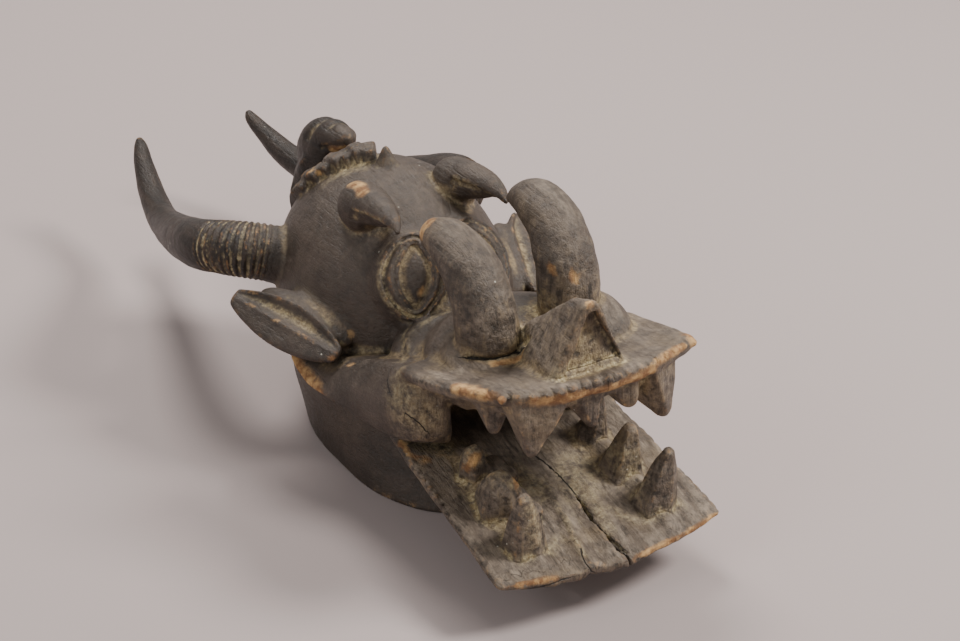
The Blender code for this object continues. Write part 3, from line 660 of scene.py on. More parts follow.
def eyes(field, side):
    """Almond eyeball on a low mound, with two ridges that follow it around."""
    spot, normal = dome_point(side * 0.037, -0.040)
    down = Vector((side * 0.25, -0.51, -0.82))
    down = (down - normal * down.dot(normal)).normalized()
    outer = down.cross(normal).normalized()
    if outer.x * side < 0:
        outer.negate()
    axes = (outer, down, normal)
    ball(field, spot - normal * 0.006, (0.042, 0.047, EYE_PROUD + 0.006), 0.012, axes)
    window = field.around(spot, 0.05, 0.0)
    u, v, w = turned(window, spot, axes)
    # Almond: two arcs that meet in points above and below
    lens = EYE_HALF_WIDTH * np.maximum(0.0, 1 - (v / (EYE_HALF_LENGTH + 0.003)) ** 2)
    stretch = np.where(u > 0, 1.0, 0.72)
    ring = (np.abs(u) - lens) / stretch
    past = np.maximum(0, np.abs(v) - EYE_HALF_LENGTH)
    ring = np.where(past > 0, np.sqrt(np.maximum(ring, 0) ** 2 + (past * 1.7) ** 2), ring)
    near = np.exp(-(w / 0.030) ** 4)
    ridge = (0.0030 * np.exp(-((ring - 0.0085) / 0.0030) ** 2)
             + 0.0030 * np.exp(-((ring - 0.0185) / 0.0034) ** 2))
    lid = 0.0012 * np.exp(-((ring - 0.0016) / 0.0018) ** 2)
    sunk = 0.0028 * ease(-ring, -0.001, 0.003) + 0.0010 * np.exp(-((ring - 0.0135) / 0.0018) ** 2)
    swell = 0.0022 * ease(-ring, 0.004, 0.014)
    field.carve(window, near * (sunk - ridge - lid - swell))


def birds(field, side):
    """Round head sunk in the dome, with a stout beak that bends down."""
    ball(field, (side * 0.054, 0.036, 0.269),
         (BIRD_HEAD_RADIUS * 0.92, BIRD_HEAD_RADIUS, BIRD_HEAD_RADIUS), 0.004)
    points = [(0.054, 0.034, 0.270, 0.90), (0.056, 0.010, 0.281, 0.78), (0.059, -0.018, 0.288, 0.56),
              (0.061, -0.038, 0.287, 0.34), (0.062, -0.050, 0.2825, 0.13)]
    stations = [(side * x, y, z, BIRD_HEAD_RADIUS * r) for x, y, z, r in smooth_path(points, 4)]
    limb(field, stations, 0.006)
    # Mouth lines: a thin raised lip along the upper beak, the lower beak cut back below it
    outer = [(0.0761, 0.0121, 0.2815), (0.0743, -0.0078, 0.2865),
             (0.0701, -0.0309, 0.2895), (0.0640, -0.0470, 0.2860)]
    inner = [(0.0385, 0.0121, 0.2880), (0.0440, -0.0084, 0.2905),
             (0.0499, -0.0260, 0.2905), (0.0575, -0.0430, 0.2870)]
    for away, line in ((1, outer), (-1, inner)):
        for dx, dy, dz, width, depth in ((0.0, 0.0, 0.0, 0.0017, -0.0016),
                                         (away * 0.0005, 0.001, -0.0036, 0.0028, 0.0060),
                                         (away * -0.002, 0.002, -0.0100, 0.0066, 0.0036)):
            groove(field, [(side * (x + dx), y + dy, z + dz) for x, y, z in line], width, depth)
    scoop(field, (side * 0.059, -0.005, 0.262), (0.012, 0.022, 0.007), 0.004)


def crown(field):
    base, normal = dome_point(0.0, 0.083, -0.008)
    tip = base + normal * SPIKE_HEIGHT
    tooth(field, base, tip, 0.0145, 6, 0.3, 0.0012)
    for i in range(COLLAR_RIDGES):
        share = i / (COLLAR_RIDGES - 1)
        spot, normal = dome_point(-0.058 + 0.054 * share, 0.155 - 0.045 * share ** 0.85)
        turn = normal.to_track_quat("Z", "Y").to_matrix().to_4x4() @ Matrix.Rotation(-0.65, 4, "Z")
        axes = [Vector(turn.col[k][:3]) for k in range(3)]
        proud = COLLAR_HEIGHT * (0.75 + 0.30 * share) * (1.0 if i % 2 else 0.84)
        centre = spot + normal * (proud - COLLAR_HEIGHT)
        window = field.around(centre, 0.025, 0.012)
        u, v, w = turned(window, centre, axes)
        steps = 0.0009 * np.cos(2 * np.pi * v / 0.0062)
        body = smooth_max(np.abs(u) - 0.0072, np.abs(v) - 0.0150, 0.004)
        body = smooth_max(body, np.abs(w) - COLLAR_HEIGHT + 0.0009 + steps, 0.004)
        field.join(window, body, 0.0025)
    head = [(0.0, 0.238, 0.236, 1.05), (0.0, 0.222, 0.252, 1.15), (0.0, 0.199, 0.264, 0.98),
            (0.0, 0.180, 0.271, 0.72), (0.0, 0.168, 0.275, 0.50)]
    limb(field, [(x, y, z, ANIMAL_RADIUS * r) for x, y, z, r in smooth_path(head, 4)], 0.006)
    body = []
    for i in range(15):
        t = i / 14
        a = math.radians(37 - 52 * t)
        proud = ANIMAL_PROUD * (1 - 0.6 * t ** 2)
        body.append((0.0, DOME_CENTRE_Y + (DOME_HALF_LENGTH + proud) * math.cos(a),
                     DOME_CENTRE_Z + (DOME_HEIGHT + proud) * math.sin(a),
                     ANIMAL_RADIUS * (0.7 + 0.8 * math.sin(math.pi * (0.22 + 0.7 * t)))))
    limb(field, body, 0.008)
    # Muzzle, mouth line, notch behind the brow and folded legs of the small animal
    ball(field, (0.0, 0.1735, 0.2725), (0.0125, 0.0095, 0.0100), 0.004)
    groove(field, [(-0.021, 0.216, 0.262), (-0.012, 0.213, 0.2750), (0.0, 0.212, 0.2800),
                   (0.012, 0.213, 0.2750), (0.021, 0.216, 0.262)], 0.0050, 0.0040)
    for away in (-1, 1):
        groove(field, [(away * 0.0115, 0.165, 0.2715), (away * 0.0150, 0.176, 0.2655),
                       (away * 0.0185, 0.190, 0.2590)], 0.0024, 0.0048)
        scoop(field, (away * 0.010, 0.186, 0.2835), (0.005, 0.006, 0.005), 0.0022)
        for leg in (((0.030, 0.216, 0.236), (0.036, 0.236, 0.215), (0.034, 0.240, 0.190)),
                    ((0.032, 0.247, 0.180), (0.033, 0.246, 0.155), (0.026, 0.240, 0.128))):
            groove(field, [(away * x, y, z) for x, y, z in leg], 0.0060, -0.0030)
    groove(field, [(-0.016, 0.190, 0.2790), (0.0, 0.189, 0.2845), (0.016, 0.190, 0.2790)], 0.0030, 0.0022)
    groove(field, [(0.0, 0.262, 0.215), (0.0, 0.270, 0.18), (0.0, 0.262, 0.145)], 0.0045, 0.0016)


def hollows(field):
    window = field.window((-0.12, -0.15, -0.01), (0.12, 0.225, 0.275))
    field.cut(window, helmet_distance(window, WALL), 0.003)
    window = field.window((-0.075, -0.26, 0.11), (0.075, -0.03, 0.21))
    x, y, z = window.axes
    throat = smooth_max(smooth_max(np.abs(x) - 0.058, np.abs(z - 0.155) - 0.026, 0.012),
                        np.abs(y + 0.085) - 0.055, 0.004)
    half = np.interp(y, (-0.256, -0.205, -0.152, -0.118), (0.043, 0.066, 0.070, 0.066)).astype(F32)
    high = np.maximum(beak_top(y) - 0.019, 0.1795)
    low = jaw_top(y) + 0.013
    roof = smooth_max(smooth_max(np.abs(x) - half, smooth_max(z - high, low - z, 0.006), 0.010),
                      np.maximum(-0.256 - y, y + 0.118), 0.004)
    field.cut(window, smooth_min(throat, roof, 0.004), 0.003)


def build_field():
    field = Field()
    helmet(field)
    lower_jaw(field)
    upper_jaw(field)
    beads(field)
    snout(field)
    for side in (-1, 1):
        cheeks(field, side)
    nose(field)
    teeth(field)
    tusks(field)
    horns(field)
    for side in (-1, 1):
        eyes(field, side)
        birds(field, side)
        ears(field, side)
    crown(field)
    # Fold where the snout's shoulder meets the brow
    for side in (-1, 1):
        groove(field, [(side * 0.0913, -0.1135, 0.179), (side * 0.078, -0.086, 0.179),
                       (side * 0.064, -0.070, 0.182), (side * 0.050, -0.066, 0.189),
                       (side * 0.030, -0.076, 0.196), (0.0, -0.082, 0.199)], 0.0036, 0.0022)
        groove(field, [(side * 0.090, -0.125, 0.184), (side * 0.078, -0.096, 0.183),
                       (side * 0.062, -0.082, 0.187), (side * 0.035, -0.088, 0.199)], 0.0042, -0.0016)
    hollows(field)
    # Hand-cut unevenness, stronger on the jaws, and long strokes along them
    shape = field.shape
    y = (FIELD_LOW[1] + STEP * np.arange(shape[1])).reshape(1, -1, 1)
    jaw_share = (0.55 + 0.6 * ease(-y, 0.12, 0.18)).astype(F32)
    for seed, cells, height, share in ((3, (0.028, 0.028, 0.028), 0.0005, F32(1)),
                                       (4, (0.011, 0.011, 0.011), 0.00026, jaw_share),
                                       (5, (0.006, 0.017, 0.0075), 0.00022, jaw_share)):
        field.d += lattice_noise(shape, cells, seed) * F32(height) * share
    z = (FIELD_LOW[2] + STEP * np.arange(shape[2])).reshape(1, 1, -1).astype(F32)
    # Adze scallops, their crests standing where the noise changes sign
    scallops = np.abs(lattice_noise(shape, (0.014, 0.017, 0.019), 6))
    cut = 0.25 + 0.75 * ease(-y, 0.10, 0.16) * ease(z, 0.19, 0.23) + 0.35 * ease(-y, 0.19, 0.23)
    field.d += (scallops * F32(0.00062) - F32(0.0003)) * np.minimum(cut, 1.0).astype(F32)
    field.d = smooth_max(field.d, LIMIT_LOW - z, 0.002)
    x = (FIELD_LOW[0] + STEP * np.arange(shape[0])).reshape(-1, 1, 1).astype(F32)
    for past in (np.abs(x) - LIMIT_HALF_WIDTH, -LIMIT_FRONT - y.astype(F32),
                 y.astype(F32) - LIMIT_BACK, z - LIMIT_TOP):
        field.d = np.maximum(field.d, past)
    return field


def skin(field):
    """One closed mesh over the field's surface."""
    band = np.clip(field.d, -3 * STEP, 3 * STEP)
    grid = openvdb.FloatGrid(float(3 * STEP))
    grid.copyFromArray(band)
    points, quads = grid.convertToQuads(isovalue=0.0)
    mesh = bpy.data.meshes.new("mask_skin")
    mesh.vertices.add(len(points))
    mesh.vertices.foreach_set("co", (points * STEP + FIELD_LOW).astype(F32).ravel())
    mesh.loops.add(4 * len(quads))
    mesh.loops.foreach_set("vertex_index", quads.astype(np.int32).ravel())
    mesh.polygons.add(len(quads))
    mesh.polygons.foreach_set("loop_start", np.arange(0, 4 * len(quads), 4, dtype=np.int32))
    mesh.update(calc_edges=True)
    return mesh


def keep_largest(mesh):
    """Drop loose crumbs and sealed pockets, and turn the faces outwards."""
    edges = np.empty(2 * len(mesh.edges), np.int32)
    mesh.edges.foreach_get("vertices", edges)
    edges = edges.reshape(-1, 2)
    label = np.arange(len(mesh.vertices))
    while True:
        low = np.minimum(label[edges[:, 0]], label[edges[:, 1]])
        fresh = label.copy()
        np.minimum.at(fresh, edges[:, 0], low)
        np.minimum.at(fresh, edges[:, 1], low)
        fresh = fresh[fresh]
        if np.array_equal(fresh, label):
            break
        label = fresh
    names, counts = np.unique(label, return_counts=True)
    loose = np.nonzero(label != names[counts.argmax()])[0]
    bm = bmesh.new()
    bm.from_mesh(mesh)
    bm.verts.ensure_lookup_table()
    bmesh.ops.delete(bm, geom=[bm.verts[i] for i in loose], context="VERTS")
    if bm.calc_volume(signed=True) < 0:
        bmesh.ops.reverse_faces(bm, faces=bm.faces)
    bm.to_mesh(mesh)
    bm.free()


def thin(thing, triangles):
    """Bring the mesh down to a number of triangles where it is plain."""
    made = sum(len(p.vertices) - 2 for p in thing.data.polygons)
    if made <= triangles:
        return
    fewer = thing.modifiers.new("thin", "DECIMATE")
    fewer.ratio = triangles / made
    bpy.context.view_layer.update()
    mesh = bpy.data.meshes.new_from_object(thing.evaluated_get(bpy.context.evaluated_depsgraph_get()))
    thing.modifiers.clear()
    old = thing.data
    thing.data = mesh
    bpy.data.meshes.remove(old)


def capsule_mask(points, spots):
    """How near points are to painted spots and strokes, 1 at their middle."""
    mask = np.zeros(len(points), F32)
    for stroke in spots:
        radius, path = stroke[0], np.array(stroke[1:], float)
        if len(path) == 1:
            near = np.linalg.norm(points - path[0], axis=1)
        else:
            near = np.full(len(points), 1.0)
            for a, b in zip(path, path[1:]):
                span = b - a
                t = np.clip(((points - a) @ span) / (span @ span), 0, 1)
                near = np.minimum(near, np.linalg.norm(points - a - t[:, None] * span, axis=1))
        mask = np.maximum(mask, 1 - ease(near, 0.35 * radius, radius))
    return mask


# Bare wood, worn or broken: radius and the stroke's points
FRESH = [
    [0.013, (-0.0579, -0.0987, 0.3149), (-0.06, -0.11, 0.319)],
    [0.01, (-0.0675, -0.1078, 0.3087), (-0.052, -0.094, 0.306)],
    [0.01, (-0.06, 0.046, 0.294), (-0.0589, 0.0304, 0.295), (-0.0645, 0.012, 0.2975)],
    [0.011, (-0.108, -0.248, 0.224), (-0.103, -0.274, 0.23), (-0.098, -0.303, 0.236)],
    [0.009, (-0.088, -0.318, 0.23), (-0.062, -0.322, 0.23), (-0.02, -0.329, 0.23)],
    [0.009, (-0.02, -0.33, 0.228), (0.003, -0.331, 0.228), (0.031, -0.328, 0.229), (0.056, -0.324, 0.231)],
    [0.006, (0.06, -0.322, 0.236), (0.1, -0.312, 0.238)],
    [0.017, (0.121, -0.306, 0.238), (0.122, -0.298, 0.238)],
    [0.009, (0.0, -0.305, 0.311)],
    [0.007, (0.0014, 0.0812, 0.306)],
    [0.012, (-0.143, 0.036, 0.124), (-0.141, 0.015, 0.116), (-0.139, -0.02, 0.111)],
    [0.006, (-0.128, -0.028, 0.147), (-0.117, -0.049, 0.149)],
    [0.006, (0.0217, -0.2, 0.292), (0.025, -0.203, 0.286)],
    [0.006, (0.036, -0.216, 0.287), (0.038, -0.217, 0.281)],
    [0.006, (0.018, -0.363, 0.055), (0.075, -0.358, 0.056), (0.125, -0.346, 0.057)],
    [0.005, (-0.131, -0.346, 0.058), (-0.101, -0.35, 0.059), (-0.067, -0.357, 0.058)],
    [0.005, (-0.05, 0.136, 0.262), (-0.058, 0.146, 0.262)],
    [0.01, (0.0, 0.16, 0.266), (-0.01, 0.176, 0.26)],
    [0.006, (-0.113, -0.142, 0.108), (-0.112, -0.165, 0.104), (-0.098, -0.176, 0.102)],
    [0.008, (-0.08, -0.216, 0.108), (-0.074, -0.222, 0.12)],
    [0.008, (-0.06, -0.268, 0.105), (-0.056, -0.262, 0.12)],
    [0.01, (-0.094, -0.008, 0.155), (-0.1, 0.008, 0.16)],
    [0.004, (-0.132, -0.345, 0.062), (-0.128, -0.25, 0.083), (-0.118, -0.16, 0.103)],
    [0.004, (-0.04, -0.056, 0.212), (-0.034, -0.062, 0.222)],
    [0.006, (-0.06, -0.229, 0.2225), (-0.042, -0.232, 0.2225), (-0.028, -0.233, 0.2245),
     (-0.022, -0.235, 0.232)],
]

# Pale earth left in grooves and round roots
CREAM = [
    [0.012, (-0.037, -0.304, 0.243), (0.0, -0.303, 0.245), (0.035, -0.304, 0.24)],
    [0.02, (0.0, -0.298, 0.268)],
    [0.004, (-0.1509, 0.0742, 0.169), (-0.1357, 0.0424, 0.166), (-0.1254, 0.0189, 0.163)],
    [0.005, (-0.1294, 0.0537, 0.1751), (-0.1101, 0.0048, 0.1646), (-0.1071, -0.0101, 0.1515)],
    [0.006, (-0.098, -0.1225, 0.182), (-0.072, -0.086, 0.182), (-0.051, -0.083, 0.192),
     (-0.027, -0.084, 0.198)],
    [0.012, (-0.118, -0.15, 0.196), (-0.11, -0.156, 0.186)],
    [0.014, (0.0, 0.083, 0.283)],
    [0.012, (-0.066, 0.12, 0.262), (-0.05, 0.118, 0.27), (-0.02, 0.096, 0.281)],
    [0.012, (-0.07, -0.236, 0.235), (-0.04, -0.238, 0.237), (-0.02, -0.225, 0.236)],
    [0.014, (0.017, -0.188, 0.259), (0.02, -0.207, 0.254), (0.01, -0.177, 0.236)],
    [0.008, (-0.091, -0.314, 0.069), (-0.078, -0.329, 0.069), (-0.049, -0.322, 0.066),
     (-0.034, -0.314, 0.068)],
    [0.008, (0.031, -0.302, 0.07), (0.041, -0.318, 0.067), (0.053, -0.326, 0.065), (0.071, -0.33, 0.07),
     (0.098, -0.32, 0.067)],
    [0.024, (-0.068, -0.206, 0.118), (-0.07, -0.212, 0.14)],
    [0.028, (-0.062, -0.252, 0.1), (-0.068, -0.258, 0.13)],
    [0.012, (-0.073, -0.326, 0.085), (-0.076, -0.326, 0.125)],
    [0.03, (-0.108, -0.172, 0.155), (-0.112, -0.16, 0.17)],
    [0.03, (0.02, -0.262, 0.076), (0.03, -0.235, 0.084)],
    [0.022, (-0.03, -0.225, 0.088), (-0.02, -0.25, 0.082)],
    [0.022, (0.062, -0.3, 0.09), (0.066, -0.255, 0.11)],
    [0.01, (-0.084, -0.209, 0.091), (-0.088, -0.262, 0.079), (-0.079, -0.285, 0.078)],
    [0.006, (-0.015, -0.271, 0.079), (-0.016, -0.293, 0.074), (-0.023, -0.319, 0.069),
     (-0.028, -0.345, 0.064)],
    [0.009, (0.012, -0.24, 0.084), (0.023, -0.269, 0.078), (0.02, -0.297, 0.072), (0.014, -0.324, 0.066)],
    [0.006, (-0.065, -0.022, 0.236), (-0.074, -0.034, 0.215), (-0.069, -0.046, 0.2006),
     (-0.047, -0.067, 0.19)],
    [0.006, (0.028, -0.04, 0.25), (0.045, -0.044, 0.242), (0.05, -0.053, 0.227)],
    [0.004, (-0.0761, 0.0121, 0.2815), (-0.0743, -0.0078, 0.2868), (-0.0701, -0.0309, 0.2898),
     (-0.064, -0.047, 0.286)],
    [0.004, (0.0385, 0.0121, 0.288), (0.044, -0.0084, 0.2908), (0.0499, -0.026, 0.2908),
     (0.0575, -0.043, 0.287)],
]


def paint(thing, field):
    """Masks that the material reads: hollows, raised edges, occlusion for painted shade, deposits and zones.
    """
    mesh = thing.data
    count = len(mesh.vertices)
    spots = np.empty(3 * count, F32)
    mesh.vertices.foreach_get("co", spots)
    spots = spots.reshape(-1, 3).astype(float)
    normals = np.empty(3 * count, F32)
    mesh.vertex_normals.foreach_get("vector", normals)
    normals = normals.reshape(-1, 3).astype(float)

    def bend(reach):
        here = field.read(spots)
        around = sum(field.read(spots + reach * np.array(step))
                     for step in ((1, 0, 0), (-1, 0, 0), (0, 1, 0), (0, -1, 0), (0, 0, 1), (0, 0, -1)))
        return (around / 6 - here) / reach

    fine, broad, wide = bend(0.003), bend(0.0075), bend(0.016)
    # How much nearby wood covers each point along its normal; the material darkens the colour by it as
    # painted shade
    occlusion = np.zeros(count, F32)
    for reach, weight in ((0.004, 0.25), (0.009, 0.3), (0.018, 0.45)):
        occlusion += weight * np.clip(1 - field.read(spots + normals * reach) / reach, 0, 1)
    x, y, z = spots.T
    inside = (np.abs(x) < 0.108) & (z < 0.27)
    hollow = helmet_shape(x, y, z, WALL * 0.5)[0] < 1
    masks = {
        "crease": np.clip(-2.2 * fine - 1.6 * broad, 0, 1),
        "raised": np.clip(3.2 * fine + 1.4 * broad - 0.2, 0, 1),
        "occlusion": np.clip(occlusion, 0, 1),
        "fresh": capsule_mask(spots, FRESH),
        "cream": capsule_mask(spots, CREAM),
        "inner": hollow & inside,
        "upward": np.clip(normals[:, 2], 0, 1),
        "valley": np.clip(-3.0 * wide - 1.2 * broad - 0.04, 0, 1),
    }
    jaw = ease(-y, 0.13, 0.18) * (1 - ease(z, 0.15, 0.17))
    mouth = ease(-y, 0.15, 0.2) * ease(z, 0.15, 0.17) * (1 - ease(z, 0.205, 0.225))
    plate = ease(-y, 0.15, 0.2) * ease(z, 0.19, 0.2) * (1 - ease(z, 0.262, 0.29))
    gable = ease(-y, 0.2, 0.23) * (1 - ease(np.abs(x), 0.045, 0.055)) * ease(z, 0.235, 0.25)
    tusk = ease(z, 0.235, 0.26) * ease(-y, 0.07, 0.09) * (1 - gable)
    masks["dusty"] = np.clip(jaw + 0.8 * mouth + 0.58 * plate + 0.75 * gable + 0.55 * tusk, 0, 1)
    horn = ease(y, 0.225, 0.25) + ease(y, 0.1, 0.14) * ease(np.abs(x), 0.112, 0.12)
    masks["brown"] = np.clip(horn + ease(y, 0.17, 0.19) * ease(z, 0.2, 0.22), 0, 1)
    run = np.hypot(np.hypot(np.abs(x) - 0.14, y - 0.178), z - 0.18)
    masks["ribs"] = 1 - ease(run, 0.036, 0.05)
    masks["gash"] = np.clip(gash(spots, normals) * 100, -1, 1)
    for name, values in masks.items():
        made = mesh.attributes.new(name, "FLOAT", "POINT")
        made.data.foreach_set("value", values.astype(F32))


# Thin splits in the wood, each a line over the surface
GASHES = [
    [(-0.079, -0.204, 0.225), (-0.0753, -0.2085, 0.2253), (-0.0597, -0.2238, 0.2266),
     (-0.0394, -0.2266, 0.2264), (-0.0287, -0.2272, 0.2289), (-0.024, -0.229, 0.236)],
    [(-0.118, -0.135, 0.18), (-0.116, -0.15, 0.165), (-0.108, -0.168, 0.15), (-0.102, -0.176, 0.135)],
    [(0.003, -0.331, 0.238), (0.004, -0.332, 0.226)],
    [(-0.026, -0.335, 0.064), (-0.031, -0.349, 0.061), (-0.03, -0.361, 0.056)],
    [(-0.05, -0.352, 0.054), (-0.085, -0.347, 0.053), (-0.12, -0.342, 0.053)],
    [(0.124, -0.02, 0.08), (0.112, -0.07, 0.06), (0.09, -0.11, 0.05)],
    [(-0.06, 0.205, 0.2), (-0.055, 0.213, 0.17), (-0.057, 0.214, 0.13), (-0.052, 0.205, 0.095)],
]


def gash(points, normals):
    """Signed distance across the nearest split, large past its ends."""
    nearest = np.full(len(points), 1.0)
    across = np.full(len(points), 1.0)
    for line in GASHES:
        path = np.array(smooth_path(line, 4), float)
        for a, b in zip(path, path[1:]):
            span = b - a
            long = np.linalg.norm(span)
            t = ((points - a) @ span) / long ** 2
            past = np.maximum(0, np.maximum(-t, t - 1)) * long
            away = np.linalg.norm(points - a - np.clip(t, 0, 1)[:, None] * span, axis=1)
            side = np.einsum("ij,ij->i", np.cross(normals, span / long), points - a)
            near = away < nearest
            nearest = np.where(near, away, nearest)
            across = np.where(near, np.where(away < 0.012, side + np.sign(side) * past, 1.0), across)
    return across


class Graph:
    """Short way to write a material's nodes."""

    def __init__(self, name):
        self.material = bpy.data.materials.new(name)
        self.material.use_nodes = True
        self.tree = self.material.node_tree
        self.shader = self.tree.nodes["Principled BSDF"]

    def node(self, kind, inputs=None, **settings):
        made = self.tree.nodes.new(kind)
        for key, value in settings.items():
            setattr(made, key, value)
        for key, value in (inputs or {}).items():
            self.feed(made.inputs[key], value)
        return made

    def feed(self, socket, value):
        if isinstance(value, bpy.types.NodeSocket):
            self.tree.links.new(value, socket)
        else:
            socket.default_value = value

    def mask(self, name):
        return self.node("ShaderNodeAttribute", attribute_name=name).outputs["Fac"]

    def math(self, operation, a, b=0.0, c=0.0, clamp=False):
        made = self.node("ShaderNodeMath", {0: a, 1: b, 2: c}, operation=operation, use_clamp=clamp)
        return made.outputs[0]

    def times(self, a, b, clamp=False):
        return self.math("MULTIPLY", a, b, clamp=clamp)

    def held(self, a, b=1.0):
        return self.times(a, b, True)

    def line(self, a, slope, start):
        """The value a times slope, plus start; each may be a socket."""
        return self.math("MULTIPLY_ADD", a, slope, start)

    def step(self, value, low, high):
        made = self.node("ShaderNodeMapRange", {"Value": value, "From Min": low, "From Max": high},
                         interpolation_type="SMOOTHSTEP")
        return made.outputs["Result"]

    def mix(self, factor, a, b):
        """Blend of two colours, each a socket or red, green and blue."""
        made = self.node("ShaderNodeMix", {"Factor": factor}, data_type="RGBA")
        for place, colour in ((6, a), (7, b)):
            self.feed(made.inputs[place], colour + (1,) if isinstance(colour, tuple) else colour)
        return made.outputs[2]

    def blend(self, factor, a, b):
        return self.node("ShaderNodeMix", {"Factor": factor, 2: a, 3: b}, data_type="FLOAT").outputs[0]

    def noise(self, place, scale, detail=4.0, rough=0.55, distort=0.0):
        made = self.node("ShaderNodeTexNoise", {"Vector": place, "Scale": scale, "Detail": detail,
                                                "Roughness": rough, "Distortion": distort})
        return made.outputs["Fac"]

    def stretched(self, place, scale):
        return self.node("ShaderNodeMapping", {"Vector": place, "Scale": scale}).outputs["Vector"]


def split_mark(g, place, upward):
    """Dark line along the lower jaw's split and its thin far end, and along the other splits."""
    start, span, rise = 0.202, 0.16, 20
    axes = g.node("ShaderNodeSeparateXYZ", {"Vector": place}).outputs
    back = g.line(axes["Y"], -1 / span, (SHIFT_Y - start) / span)
    curve = g.node("ShaderNodeFloatCurve", {"Value": back})
    bends = curve.mapping.curves[0]
    bends.points[0].location = (0.0, 0.5 + SPLIT[0][1] * rise)
    bends.points[1].location = (1.0, 0.5 + SPLIT[-1][1] * rise)
    for along, x in SPLIT[1:-1]:
        bends.points.new((along - start) / span, 0.5 + x * rise)
    for point in bends.points:
        point.handle_type = "VECTOR"
    curve.mapping.update()
    path = g.line(curve.outputs["Value"], 1 / rise, -0.5 / rise)
    path = g.line(g.noise(place, 190.0, 3.0), 0.0024, g.math("SUBTRACT", path, 0.0012))
    off = g.math("ABSOLUTE", g.math("SUBTRACT", axes["X"], path))
    low = g.times(g.math("LESS_THAN", axes["Z"], 0.102), g.step(back, 0.0, 0.06))
    split = g.times(g.step(off, 0.0010, 0.0004), g.times(low, g.step(upward, 0.4, 0.6)))
    wander = g.line(g.noise(place, 230.0, 3.0), 0.12, -0.06)
    gap = g.math("ABSOLUTE", g.math("ADD", g.mask("gash"), wander))
    return g.math("MAXIMUM", split, g.step(gap, 0.075, 0.030))


# Near-black: the dark strokes up the teeth, and painted shade in covered hollows and creases
SOOT_AND_SHADE = (0.024, 0.018, 0.013)


